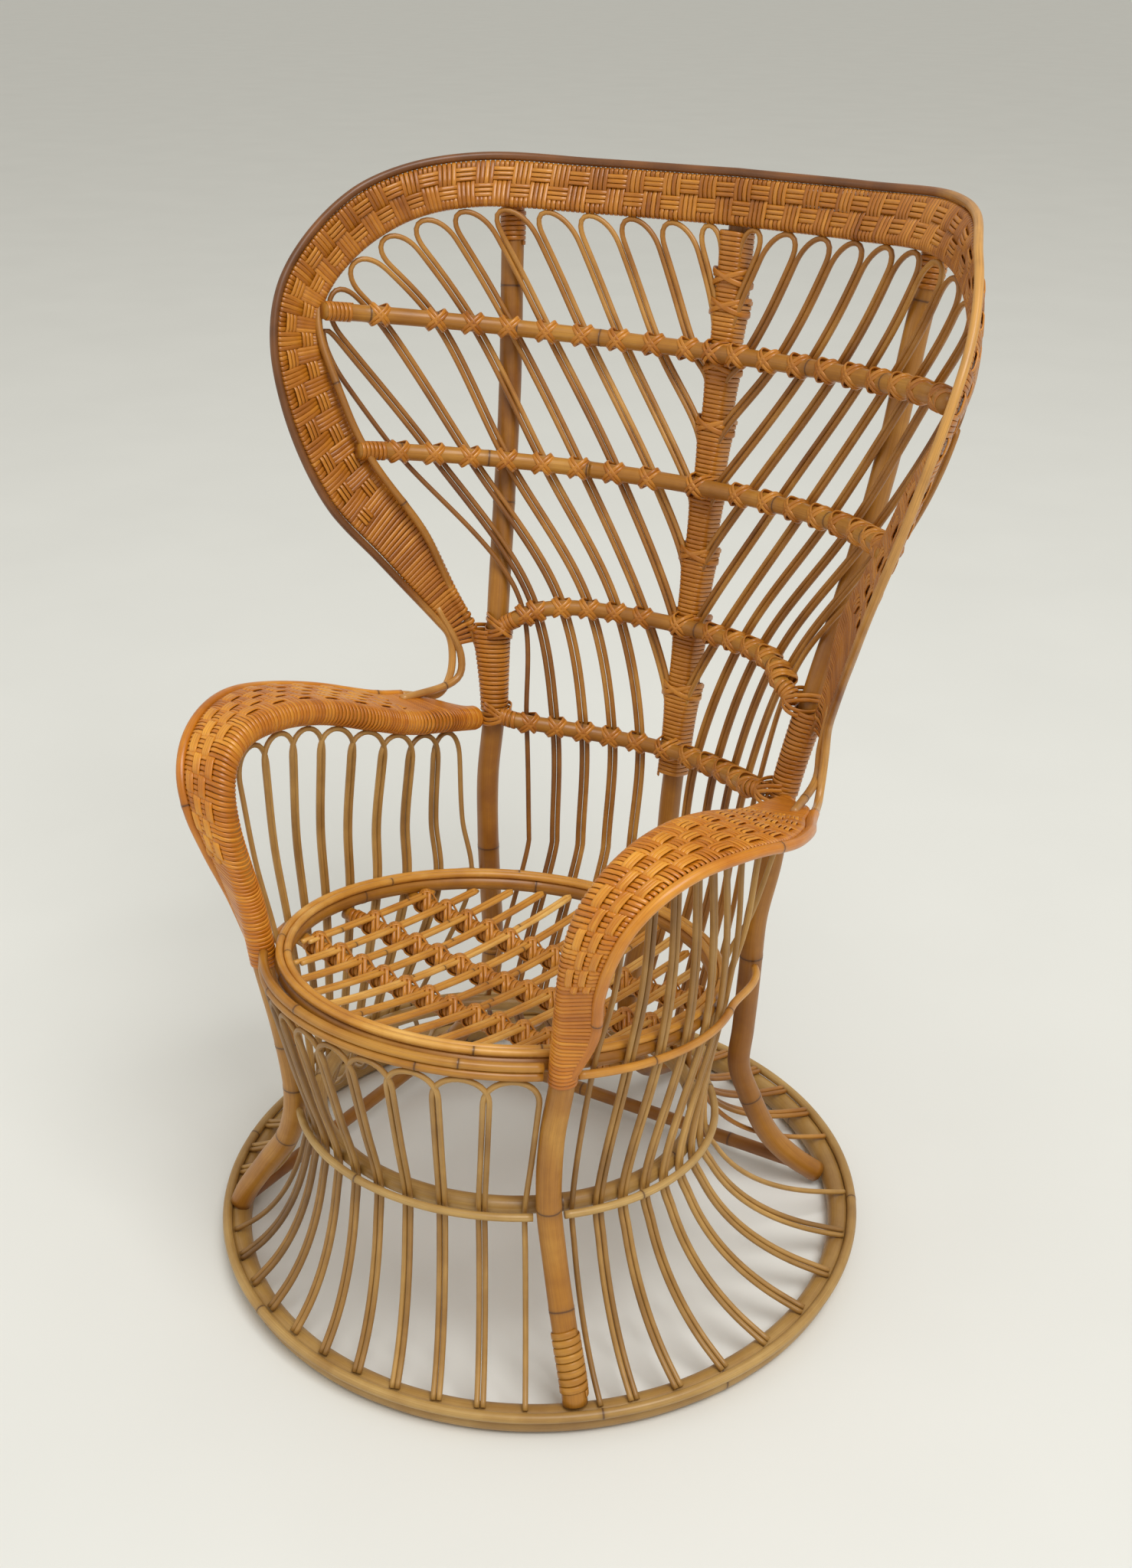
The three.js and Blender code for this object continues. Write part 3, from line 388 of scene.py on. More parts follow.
# %% Rattan finishes
peel_fibre = {"fibre_width": 0.7, "fibre_length": 35.0}
# Whole stem, scraped and varnished: warm brown, a soft shine and long fibres.
pole_finish = rattan("varnished_rattan_pole", "#7a460d", "#ae741f", "#d69f42", 0.42)
# Whole stem at the floor, its varnish worn thin: paler, greyer and duller.
floor_finish = rattan("pale_rattan_pole", "#80592a", "#ab8444", "#cba764", 0.45)
# Core cane of the skirt, thinly varnished: tan with brown streaks.
skirt_finish = rattan("tan_round_cane", "#5f3f1c", "#a27636", "#cfa258", 0.45, fibre_width=0.6)
# Core cane of the back, varnished: golden brown with fine dark fibres.
cane_finish = rattan("varnished_round_cane", "#6c3d10", "#ac7226", "#dca650", 0.42, fibre_width=0.6)
# Core cane of the seat, polished by use: pale gold.
pale_finish = rattan("pale_round_cane", "#a26016", "#d5983a", "#fbd078", 0.42, fibre_width=0.6)
# Rim cane, stained: dark brown where the stain is whole, honey where it has worn off; the honey of the left
# wing is partly a painted highlight.
rim_finish = rattan("stained_rim_cane", "#56300f", "#8a5422", "#d9a050", 0.4)
# Split peel, varnished: reddish gold, smooth and glossy.
peel_finish = rattan("glossy_rattan_peel", "#7c4008", "#b26c16", "#da9434", 0.34, **peel_fibre)
# Split peel of the arms, rubbed by hands: lighter and glossier.
arm_finish = rattan("honey_rattan_peel", "#934c08", "#ca7a14", "#f0aa3a", 0.32, **peel_fibre)
print("materials", len(bpy.data.materials))

# %% [markdown]
# The chair is drawn in three frames. The rounds of floor and waist are circles, the waist tipped back a
# little. Seat and back lean back together by about ten degrees. Each frame has one function that turns its
# own numbers into a place, so that no piece is fitted by hand.

# %% Places on floor, waist and seat
up = np.array([0.0, 0.0, 1.0])
across = np.array([1.0, 0.0, 0.0])
clearance = 0.4
lean = math.radians(10.5)
lean_up = np.array([0.0, math.sin(lean), math.cos(lean)])
lean_back = np.array([0.0, math.cos(lean), -math.sin(lean)])
waist_tilt = math.radians(5.5)
waist_centre = (-63, 201)
seat_centre = -136
seat_height = 366
seat_half_width = 236
seat_half_depth = 255


def ease(start, end, x):
    """Smooth step: t = (x - start) / (end - start) held within 0 and 1, then t * t * (3 - 2 t)."""
    t = np.clip((np.asarray(x, float) - start) / (end - start), 0, 1)
    return t * t * (3 - 2 * t)


def leaned(u, v, w):
    """u across, v to the rear and w up, all turned back by the lean about X."""
    u, v, w = np.broadcast_arrays(np.asarray(u, float), v, w)
    y = v * math.cos(lean) + w * math.sin(lean)
    return np.stack([u, y, w * math.cos(lean) - v * math.sin(lean)], axis=-1)


def on_base(radius, angle, height):
    """A place on the floor rounds, by angle in degrees from the front."""
    a = np.radians(np.asarray(angle, float))
    radius, a, height = np.broadcast_arrays(radius, a, height)
    return np.stack([radius * np.sin(a), -radius * np.cos(a), height], axis=-1)


def on_waist(radius, angle, rise=0.0):
    """A place on the tipped waist round, by angle in degrees from the front."""
    a = np.radians(np.asarray(angle, float))
    radius, a, rise = np.broadcast_arrays(radius, a, rise)
    along = -radius * np.cos(a)
    y = waist_centre[0] + along * math.cos(waist_tilt) + rise * math.sin(waist_tilt)
    z = waist_centre[1] - along * math.sin(waist_tilt) + rise * math.cos(waist_tilt)
    return np.stack([radius * np.sin(a), y, z], axis=-1)


def on_seat(grow, angle, rise=0.0):
    """A place on the oval seat, grown outward: r = 1 / hypot(sin a / half width, cos a / half depth)."""
    a = np.radians(np.asarray(angle, float))
    radius = 1 / np.hypot(np.sin(a) / seat_half_width, np.cos(a) / seat_half_depth) + grow
    return leaned(radius * np.sin(a), seat_centre - radius * np.cos(a), seat_height + rise)


print("the seat's front edge is", round(float(on_seat(0, 0)[2])), "mm up")

# %% [markdown]
# The back is drawn flat, by distance from the middle and height up the lean, and then bent round a plan
# that is half a superellipse, wider toward the top. Weave and canes can be laid out on the flat drawing by
# plain lengths, which a curved surface wouldn't allow.

# %% Places on the back
back_centre = -120
plan_half = 255
plan_widening = 157
widening_heights = (500, 1075)
plan_narrowing = 16
plan_depth = 307
plan_shallowing = 10
top_heights = (1075, 1235)
plan_power = 1.85
plan_squaring = 0.4
squaring_heights = (1170, 1235)
plan_angle = np.linspace(0, np.pi / 2, 97)[None]


def on_back(s, w, out=0.0):
    """The drawing bent round u = a sin(q) ** (2 / n), v = b cos(q) ** (2 / n), by arc length s."""
    s, w, out = np.broadcast_arrays(np.asarray(s, float), w, out)
    shape = s.shape
    s, w, out = s.ravel(), np.asarray(w, float).ravel(), np.asarray(out, float).ravel()
    widths = plan_half + plan_widening * ease(*widening_heights, w) - plan_narrowing * ease(*top_heights, w)
    a = widths[:, None]
    b = (plan_depth - plan_shallowing * ease(*top_heights, w))[:, None]
    n = (plan_power + plan_squaring * ease(*squaring_heights, w))[:, None]
    sine = np.sin(plan_angle)
    cosine = np.maximum(np.cos(plan_angle), 0)
    u = a * sine ** (2 / n)
    v = b * cosine ** (2 / n)
    plan = (u, v, sine ** (2 - 2 / n) / a, cosine ** (2 - 2 / n) / b)
    steps = np.hypot(np.diff(u, axis=1), np.diff(v, axis=1))
    length = np.concatenate([np.zeros((len(s), 1)), np.cumsum(steps, axis=1)], axis=1)
    reach = np.abs(s)
    row = np.arange(len(s))
    spot = np.clip((length <= reach[:, None]).sum(axis=1), 1, plan_angle.size - 1)
    before = length[row, spot - 1]
    t = np.clip((reach - before) / (length[row, spot] - before), 0, 1)
    u, v, normal_u, normal_v = [(1 - t) * k[row, spot - 1] + t * k[row, spot] for k in plan]
    share = out / np.hypot(normal_u, normal_v)
    past = np.maximum(reach - length[:, -1], 0)
    side = np.where(s < 0, -1.0, 1.0)
    place = leaned(side * (u + share * normal_u), back_centre + v + share * normal_v - past, w)
    return place.reshape(shape + (3,))


print("the back's top middle is at", np.round(on_back(0.0, 1232.0), 1))

# %% [markdown]
# A rattan pole is a stem with a knot at each old leaf: a low swelling with a dark line, some 150 to 280 mm
# apart. The stem's thickness also wanders a little. A plain cylinder would look like plastic pipe, so the
# radius follows these, and rings are set closer at the knots, so that they show.

# %% Poles with knots
knot_offsets = np.array([-7.0, -3.0, -1.5, -0.7, 0.0, 0.7, 1.5, 3.0, 7.0])
most_knots = 40
knot_margin = 20
scar_width = 1.1
smudge = 0.25
smudge_width = 5.0
swell_height = 0.5
swell_width = 3.0
groove_depth = 0.35
groove_width = 0.8
long_wave, long_wave_length = 0.008, 37
short_wave, short_wave_length = 0.006, 13
shade_wave, shade_wave_length = 0.1, 90
most_phase = 6


def bell(x, width, power=2):
    """exp(-(x / width) ** power): one at 0 and nearly nothing past twice the width."""
    return np.exp(-(x / width) ** power)


def pole(bundle, path, radius, reference, sides=18, spacing=7.0, closed=False, tone=0.5,
         knots=(150.0, 280.0)):
    """Radius r (1 + slow waves) + a swelling - a groove at each knot, which also darkens the stem."""
    whole = distance_along(path)[-1]
    gaps = chance.uniform(*knots, most_knots)
    places = np.cumsum(gaps) - chance.uniform(0, knots[0])
    places = places[(places > knot_margin) & (places < whole - knot_margin)]
    even = np.linspace(0, whole, int(whole / spacing) + 2)
    distance = np.concatenate([even, (places[:, None] + knot_offsets).ravel()])
    distance = np.unique(np.round(distance, 2))
    distance = distance[(distance >= 0) & (distance <= whole)]
    if closed:
        distance = distance[distance < whole - 0.5 * spacing]
    away = np.abs(distance[:, None] - places[None]).min(axis=1, initial=1e3)
    knot = bell(away, scar_width) + smudge * bell(away, smudge_width)
    wave = 1 + long_wave * np.sin(distance / long_wave_length + chance.uniform(0, most_phase))
    wave = wave + short_wave * np.sin(distance / short_wave_length)
    swell = swell_height * bell(away, swell_width) - groove_depth * bell(away, groove_width)
    centre = at_distance(path, distance)
    if callable(reference):
        reference = reference(centre)
    rings = sweep(centre, round_section(radius * wave + swell, sides), reference, closed)
    shade = tone + shade_wave * np.sin(distance / shade_wave_length + chance.uniform(0, most_phase))
    bundle.add(rings, shade[None], knot[None], closed)


def lone_pole(name, path, radius, reference, finish, slot, *nodes, **looks):
    """One pole or cane as a piece of its own."""
    bundle = Bundle()
    pole(bundle, path, radius, reference, **looks)
    make_piece(bundle, name, finish, slot, *nodes)


print("rings round each knot", len(knot_offsets))

# %% [markdown]
# The floor ring is one thick stem bent to a circle, with a thinner bead on its outer shoulder that the
# skirt's canes run out to. Both are swept round a circle rather than made as a torus, so that they get the
# knots of a stem.

# %% Floor ring and bead
pole_sides = 8
hoop_sides = 6
base_radius = 368
base_tube = 14.0
ring_tube = 14.5
bead_tube = 6
bead_peel = 0.3
bead_turn = math.radians(45)


def facet(radius, sides):
    """Distance from the middle of one of the frame's polygons to its flats: r cos(pi / sides)."""
    return radius * math.cos(math.pi / sides)


def ring_angles(spacing, radius):
    """Angles in degrees round a full ring, about one every so many millimetres, ending where they start."""
    return np.linspace(0, 360, int(2 * math.pi * radius / spacing) + 1)


base_height = facet(ring_tube, pole_sides)
bead_step = ring_tube + facet(bead_tube, hoop_sides) + clearance
bead_radius = base_radius + bead_step * math.sin(bead_turn)
bead_height = base_height + bead_step * math.cos(bead_turn)
round_turn = ring_angles(6.0, base_radius)
lone_pole("floor_ring", on_base(base_radius, round_turn, base_tube), base_tube, up, floor_finish, "pole",
          "base_ring", closed=True, knots=(420.0, 620.0))
lone_pole("floor_bead", on_base(bead_radius, round_turn, bead_height), bead_tube - bead_peel, up,
          floor_finish, "pole", "base_bead_ring", closed=True, sides=12, knots=(300.0, 520.0), tone=0.62)

# %% [markdown]
# The waist has a ring inside the canes and a thin hoop outside, cut at the front legs, so that the canes
# are held between the two. The hoop's ends come from the leg's place, so they always stop just short of it.

# %% Waist
cane_radius = 3.1
waist_radius = 219
waist_tube = 9.6
waist_room = 10
waist_cane = waist_radius + waist_room + cane_radius + clearance
hoop_tube = 4.5
hoop_slack = 1.4
hoop_radius = waist_cane + cane_radius + hoop_tube + hoop_slack + clearance
leg_radius = 13.5
hoop_leg_gap = 3.5
knee = (177, -232)
knee_angle = math.degrees(math.atan2(knee[0], waist_centre[0] - knee[1]))
hoop_end = math.degrees((leg_radius + hoop_leg_gap) / hoop_radius)
hoop_looks = {"sides": 12, "tone": 0.75}

lone_pole("waist_ring_pole", on_waist(waist_radius, round_turn), waist_tube, up, floor_finish, "pole",
          "waist_ring", closed=True, tone=0.55)
front_hoop = on_waist(hoop_radius, np.linspace(hoop_end - knee_angle, knee_angle - hoop_end, 60))
rear_hoop = on_waist(hoop_radius, np.linspace(knee_angle + hoop_end, 360 - knee_angle - hoop_end, 180))
for name, hoop in (("front", front_hoop), ("rear", rear_hoop)):
    lone_pole(f"waist_hoop_{name}_cane", hoop, hoop_tube, up, floor_finish, "pole", f"waist_hoop_{name}",
              **hoop_looks)

# %% [markdown]
# Each front leg is one stem: it stands on the floor ring, leans in to the waist, rises past the seat and
# bends back as the arm. Each rear leg goes on up as an upright behind the back. Heating lets one long stem
# take all these bends, so each is one smooth curve through its bends and not a chain of straight parts.

# %% Leg places
upright_radius = 13.5
binding_build = 1.6
wind_build = (leg_radius + clearance) / math.cos(math.pi / pole_sides) + binding_build - leg_radius
pole_out = upright_radius + wind_build + cane_radius + clearance
arm_end_height = 563
front_foot_radius = base_radius - 2
front_foot_height = 2 * base_height + 3.6
front_foot_angle = 45.4
rear_foot_radius = base_radius - 18.5
rear_foot_height = 16.0
rear_foot_angle = 126
base_turn = -4.4
rear_turn = 4.5
turn_fade = (20, 240)
front_splay = [[9.3, 45, 52], [38, 42.5, 108], [66, 39.5, 168]]
rear_splay = [[106.5, 130, 190], [93.5, 129, 147], [62.5, 127, 78], [31.5, 126.2, 42]]
front_leg_points = [[177, -232, 235], [184, -236, 325]]
rear_leg_points = [[194, 164, 394], [191, 162, 325], [187, 160, 240]]
arm_pole = [
    [200, -240, 405], [208, -243, 470], [216, -249, 520], [225, -252, 566], [234, -246, 604],
    [244, -227, 632], [251, -192, 648], [252, -130, 646], [249, -62, 627], [236, 6, 597], [228, 68, 571],
]
upright_heights = np.array([1222, 1100, 960, 820, 690, 574, 490])
upright_foot = (223, 574)
upright_splay = 0.081


def upright_at(w):
    """Distance of an upright from the back's middle: even up to a height, then slowly wider."""
    return upright_foot[0] + upright_splay * np.maximum(np.asarray(w, float) - upright_foot[1], 0)


print("the uprights stand", round(2 * float(upright_at(1222))), "mm apart at the top")

# %% [markdown]
# Places are written for the +X half and mirrored for the other. The turn of the base is added near the floor
# alone and fades out with height, because the real base stands a little askew. One spline through all the
# places keeps each stem one piece, as the steamed pole is.

# %% Leg paths
sides = {"left": 1, "right": -1}
path_spacing = 4.0
short_way = 10


def flip(points, side):
    """Points of the +X half on the side asked for."""
    return np.asarray(points, float) * np.array([side, 1, 1])


def splay(rows, foot_radius, side):
    """Leg points [inside the foot's circle, angle, height] on one side."""
    inside, angle, height = np.array(rows, float).T
    return on_base(foot_radius - inside, side * angle, height)


def turned(points, at_foot):
    """Points turned about Z by so many degrees on the floor, fading to nothing at the waist."""
    turn = np.radians(at_foot * (1 - ease(*turn_fade, points[:, 2])))
    x = points[:, 0] * np.cos(turn) - points[:, 1] * np.sin(turn)
    y = points[:, 0] * np.sin(turn) + points[:, 1] * np.cos(turn)
    return np.stack([x, y, points[:, 2]], axis=-1)


def front_leg_line(side):
    """Foot, splay, knee and arm, ending beside the upright."""
    foot = on_base(front_foot_radius, front_foot_angle * side, front_foot_height)[None]
    leg = np.vstack([foot, splay(front_splay, front_foot_radius, side), flip(front_leg_points, side)])
    leg = turned(leg, base_turn)
    at_arm = upright_at(arm_end_height)
    upright = on_back(side * at_arm, arm_end_height, pole_out)
    ahead = unit(on_back(side * (at_arm + short_way), arm_end_height, pole_out) - upright)
    end = upright + ahead * (upright_radius + leg_radius + clearance)
    return spline(np.vstack([leg, flip(arm_pole, side), end]), path_spacing)


def upright_line(side):
    """Down the back, past the seat and out to the rear foot."""
    back = on_back(side * upright_at(upright_heights), upright_heights, pole_out)
    foot = on_base(rear_foot_radius, side * rear_foot_angle, rear_foot_height)[None]
    leg = turned(np.vstack([splay(rear_splay, rear_foot_radius, side), foot]), rear_turn)
    return spline(np.vstack([back, flip(rear_leg_points, side), leg]), path_spacing)


front_legs = {name: front_leg_line(side) for name, side in sides.items()}
uprights = {name: upright_line(side) for name, side in sides.items()}
print("one front stem is", round(distance_along(front_legs["left"])[-1]), "mm long")

# %% [markdown]
# The four stems are swept as round poles with knots. The front ones have their knots closer together and a
# lighter tone. A plain tube would do from afar, but the knots are what make a pole read as rattan.

# %% Legs and uprights
for name in sides:
    lone_pole(f"leg_and_arm_pole_{name}", front_legs[name], leg_radius, across, pole_finish, "pole",
              f"front_leg_and_arm_{name}", sides=20, knots=(55.0, 190.0), tone=0.55)
    lone_pole(f"upright_pole_{name}", uprights[name], upright_radius, across, pole_finish, "pole",
              f"rear_leg_and_upright_{name}", sides=20, tone=0.35)

# %% [markdown]
# A centre pole stands behind the middle of the back and bends out to the floor ring like the legs. It could
# be two straight poles, but it is one long bent stem, so it too is a spline, through its places on the
# back, at the waist and at its foot.

# %% Centre pole
centre_radius = 13
band_cane = 5
centre_out = facet(centre_radius, pole_sides) + facet(band_cane, hoop_sides) + clearance
centre_heights = np.array([1222, 1080, 930, 780, 630, 500, 410])
centre_above = [0, 22, 80]
centre_below = [0, 40, -106]
centre_foot_reach = 4
pole_at_waist = on_waist(hoop_radius + hoop_tube + centre_radius + clearance, 180.0)
centre_foot_radius = base_radius - ring_tube - centre_radius + centre_foot_reach
centre_foot = on_base(centre_foot_radius, 180.0, rear_foot_height)
centre_low = [pole_at_waist + centre_above, pole_at_waist, pole_at_waist + centre_below, centre_foot]
centre_line = spline(np.vstack([on_back(0.0, centre_heights, centre_out), centre_low]), path_spacing)
lone_pole("centre_pole_stem", centre_line, centre_radius, across, pole_finish, "pole", "centre_pole",
          sides=20, tone=0.4)

# %% [markdown]
# Two straight stretchers brace the legs near the floor. They could be placed by hand, but their ends are
# found on the legs' own paths at the stretcher's height, so that a changed leg takes its stretcher along.

# %% Stretchers
rear_height = 26
side_heights = [34, 37]
stretcher_tube = 8.5
stretcher_gap = 1


def crossing_point(path, height):
    """The first place where a path has the height given, going from its lower end."""
    path = path if path[0, 2] < path[-1, 2] else path[::-1]
    spot = int(np.argmax(path[:, 2] >= height))
    return path[spot]


rear_ends = [crossing_point(uprights[name], rear_height) for name in sides]
side_lines = (front_legs["right"], uprights["right"])
side_ends = [crossing_point(line, height) for line, height in zip(side_lines, side_heights)]
for name, (start, end) in (("rear", rear_ends), ("right", side_ends)):
    inset = unit(end - start) * (leg_radius + stretcher_gap)
    bar = respace(np.array([start + inset, end - inset]), 6.0)
    lone_pole(f"stretcher_{name}_pole", bar, stretcher_tube, up, pole_finish, "pole", f"stretcher_{name}",
              tone=0.3)

# %% [markdown]
# The seat is an oval ring with two thin pale hoops on top. All three are swept round the same oval, grown
# or shrunk a little, so that they lie side by side all the way round.

# %% Seat ring and hoops
seat_tube = 9.2
seat_room = 9.5
seat_hoop_room = 4
seat_hoop_tube = 4.3
seat_hoop_step = 4.4
oval = np.radians(ring_angles(6.0, seat_half_depth))
hoop_rise = facet(seat_room, hoop_sides) + facet(seat_hoop_room, hoop_sides) + clearance


def seat_oval(grow, rise):
    """The seat's oval with both half axes grown by so much, at a height above the seat's plane."""
    u = (seat_half_width + grow) * np.sin(oval)
    return leaned(u, seat_centre - (seat_half_depth + grow) * np.cos(oval), seat_height + rise)


lone_pole("seat_ring_pole", seat_oval(0, 0), seat_tube, up, pole_finish, "pole", "seat_ring", closed=True,
          tone=0.4)
for name, sign in (("outer", 1), ("inner", -1)):
    lone_pole(f"seat_hoop_{name}_cane", seat_oval(sign * seat_hoop_step, hoop_rise), seat_hoop_tube, up,
              pale_finish, "cane", f"seat_hoop_{name}", closed=True, sides=12, knots=(260.0, 420.0), tone=0.5)

# %% [markdown]
# Between the front legs the seat has a rail of two canes laid one on the other, and at each side a cane
# runs round outside the side canes to the rear leg. Both start from the leg's angle round the seat, so
# that they meet it.

# %% Seat rail and side hoops
rail_cane = 5.0
rail_half_gap = 4.8
rail_leg_gap = 1
side_hoop_tube = 4.5
side_hoop_last = 137
side_hoop_drop = 6
side_hoop_spread = 33
side_hoop_spreads = (112, 138)

leg_at_seat = arm_pole[0]
leg_seat_v = leg_at_seat[1] * math.cos(lean) - leg_at_seat[2] * math.sin(lean) - seat_centre
leg_seat_angle = math.degrees(math.atan2(leg_at_seat[0], -leg_seat_v))
leg_seat_reach = math.hypot(leg_at_seat[0], leg_seat_v)
seat_middle = leaned(0, seat_centre, seat_height)
rail_grow = leg_seat_reach - float(np.linalg.norm(on_seat(0, leg_seat_angle) - seat_middle))
rail_end = math.degrees((leg_radius + rail_leg_gap) / leg_seat_reach)
rail_angles = np.linspace(rail_end - leg_seat_angle, leg_seat_angle - rail_end, 80)
front_rail = Bundle()
for rise in (-rail_half_gap, rail_half_gap):
    pole(front_rail, on_seat(rail_grow, rail_angles, rise), rail_cane, up, sides=14, knots=(120.0, 240.0),
         tone=0.6)
make_piece(front_rail, "seat_front_rail_canes", pole_finish, "pole", "seat_front_rail")

seat_cane = seat_room + cane_radius + clearance / 2
side_hoop_angles = np.linspace(leg_seat_angle + rail_end + clearance, side_hoop_last, 90)
side_hoop_grow = seat_cane + cane_radius + side_hoop_tube + 2 * clearance
side_hoop_grow = side_hoop_grow + side_hoop_spread * ease(*side_hoop_spreads, side_hoop_angles)
for name, side in sides.items():
    side_hoop = on_seat(side_hoop_grow, side * side_hoop_angles, -side_hoop_drop)
    lone_pole(f"seat_side_hoop_{name}_cane", side_hoop, side_hoop_tube, up, pale_finish, "cane",
              f"seat_side_hoop_{name}", sides=12, tone=0.35)

# %% [markdown]
# Canes doubled back on themselves run from front to rear inside the ring and are tied to three cross bars.
# They hang a little in the middle, so the seat is a shallow dish. One height function gives the dish, and
# the ties use it again later, so that they can't miss the canes.

# %% Seat slats
slat_count = 13
slat_spacing = 32
slat_radius = 2.8
slat_gap = 2.95
slat_rise = 2.6
slat_dish = 24
slat_end_gap = 1
slat_steps = 60


def slat_height(u, v):
    """The dish: a rise over the seat's plane, less 24 mm at the middle, fading out as (1 - u2)(1 - v2)."""
    fullness = slat_dish * (1 - (u / seat_half_width) ** 2) * (1 - (v / seat_half_depth) ** 2)
    return seat_height + slat_rise - fullness


slat_places = (np.arange(slat_count) - (slat_count - 1) / 2) * slat_spacing
slat_bend = np.linspace(np.pi, 0, 9)[1:-1]
for k, u in enumerate(slat_places):
    edge = (abs(u) + slat_gap + slat_radius) / (seat_half_width - seat_room)
    reach = (seat_half_depth - seat_room) * math.sqrt(1 - edge ** 2) - slat_end_gap
    bend = reach - slat_gap - slat_radius
    run = np.linspace(-reach, bend, slat_steps)
    legs = [np.full(slat_steps, u + sign * slat_gap) for sign in (-1, 1)]
    loop_u = np.concatenate([legs[0], u + slat_gap * np.cos(slat_bend), legs[1]])
    loop_v = np.concatenate([run, bend + slat_gap * np.sin(slat_bend), run[::-1]])
    path = leaned(loop_u, seat_centre + loop_v, slat_height(u, loop_v))
    lone_pole(f"seat_slat_{k + 1}_cane", path, slat_radius, up, pale_finish, "cane", f"seat_slat_{k + 1}",
              sides=10, spacing=6.0, knots=(200.0, 420.0), tone=chance.uniform(0.35, 0.75))

# %% [markdown]
# Three bars cross under the slats and carry them. Each is a pole bent to a shallow dip, a parabola from side
# to side of the seat's oval, which is simpler than following the dish and keeps under the slats.

# %% Seat cross bars
bar_places = [-92, 6, 104]
bar_radius = 8.4
bar_room = 8
bar_lift = 2.4
bar_dip = 15.5
bar_under = seat_height - facet(seat_room, hoop_sides) - bar_room - clearance + bar_lift
bar_share = np.linspace(-1, 1, 60)
bar_paths = []
for k, v in enumerate(bar_places):
    reach = seat_half_width * math.sqrt(1 - (v / seat_half_depth) ** 2)
    path = leaned(bar_share * reach, seat_centre + v, bar_under - bar_dip * (1 - bar_share ** 2))
    bar_paths.append(path)
    lone_pole(f"seat_cross_bar_{k + 1}_pole", path, bar_radius, up, pole_finish, "pole",
              f"seat_cross_bar_{k + 1}", sides=14, tone=0.55)

# %% [markdown]
# One cane follows each arm's outer edge. It starts against the leg, low down in front, and ends at the rear
# of the arm, where the back's rim comes down to it in a gooseneck. The rim's outline is written here on the
# flat drawing of the back, because the edge cane ends on it.

# %% Arm edge canes
arm_cane = [
    [209, -241, 412], [238, -242, 472], [254, -257, 532], [270, -262, 577], [285, -254, 613],
    [300, -231, 638], [317, -191, 653], [337, -127, 652], [345, -56, 634], [330, 8, 614], [297, 80, 586],
]
rim_outline = [
    [0, 1232, 0], [170, 1229, 0], [317, 1222, 0], [408, 1195, 0], [486, 1141, 0], [544, 1066, 0],
    [555, 1000, 0], [531, 919, 0], [469, 824, 2], [385, 753, 9], [303, 681, 26], [285, 663, 32],
]
gooseneck = np.array([[275, 637, 40], [273, 608, 46], [283, 586, 48]], float)
edge_radius = 5.8
neck_share = 0.4
neck_line = on_back(*gooseneck.T)
neck_end = (1 - neck_share) * np.array(arm_cane[-1]) + neck_share * neck_line[-1]
edge_line = spline(np.vstack([arm_cane, neck_end]), path_spacing)
for name, side in sides.items():
    lone_pole(f"arm_edge_cane_{name}_stem", flip(edge_line, side), edge_radius, across, arm_finish, "cane",
              f"arm_edge_cane_{name}", sides=14, tone=0.55, knots=(260.0, 420.0))

# %% [markdown]
# The woven band lies between the rim and a thinner cane inside it. It could be bent as one sheet and
# textured, but its edges would then be flat. Here everything on it is placed by distance along the rim,
# depth into the band and lift off it, and those three numbers are then bent round the back.

# %% Places on the band
band_width = 54
band_gain = 18
band_widening = (0.45, 0.7)
band_narrowing = (0.78, 0.97)
band_draw = 0.45
band_draw_start = 0.88
band_tail = 22
wing_twist = 0.3
twist_start = (0.5, 0.7)
twist_end = (0.85, 1)
half_length = distance_along(spline(rim_outline, 1.0))[-1]
flat_rim = spline(np.vstack([rim_outline, gooseneck[:2]]), 1.0)
flat_length = distance_along(flat_rim)
flat_slope = unit(np.gradient(flat_rim[:, :2], axis=0))
flat_frame = np.hstack([flat_rim, flat_slope])


def band_share(t):
    """Band width over its width at the top: 1, a third more down the sides, and 1 at the end."""
    return 1 + (band_gain / band_width) * ease(*band_widening, t) * (1 - ease(*band_narrowing, t))


def on_band(along, depth, lift):
    """Distance along the rim, depth in from it and lift to the rear; the left wing's inside turns forward."""
    along, depth, lift = np.broadcast_arrays(np.asarray(along, float), depth, lift)
    reach = np.abs(along)
    s, w, out, slope_s, slope_w = np.moveaxis(sampled(reach, flat_length, flat_frame), -1, 0)
    side = np.where(along < 0, -1.0, 1.0)
    share = reach / half_length
    fade = 1 - depth / (2 * band_width * band_share(share))
    turn = wing_twist * ease(*twist_start, share) * (1 - ease(*twist_end, share))
    twist = np.where(along > 0, turn, 0.0)
    return on_back(side * (s + depth * slope_w), w - depth * slope_s, out * fade + lift - twist * depth)


def band_edge(along):
    """Depth of the band's inner edge: its width, drawn in where it meets the upright."""
    reach = np.abs(along)
    draw = ease(band_draw_start * half_length, half_length + band_tail, reach)
    return band_width * band_share(reach / half_length) * (1 - band_draw * draw)


print("half the rim is", round(half_length), "mm long")

# %% [markdown]
# A thin cane runs inside the band's inner edge from upright to upright. It is drawn for one half and
# mirrored, so that the two halves match, and its lower ends tuck in beside the uprights.

# %% Inner cane of the band
back_axis = -60
inner_radius = 4.6
inner_ends = [(630.0, 16), (600.0, 13)]
inner_out = 20.0


def outward(points, axis_y):
    """The level way out from an upright axis at X = 0 and the Y given."""
    return np.stack([points[..., 0], points[..., 1] - axis_y, np.zeros(points.shape[:-1])], axis=-1)


def from_back_axis(points):
    """The way out from the back's own axis."""
    return outward(points, back_axis)


def both_halves(line):
    """A line of the +X half that starts on the middle, joined to its mirror image."""
    return np.vstack([flip(line[:0:-1], -1), line])


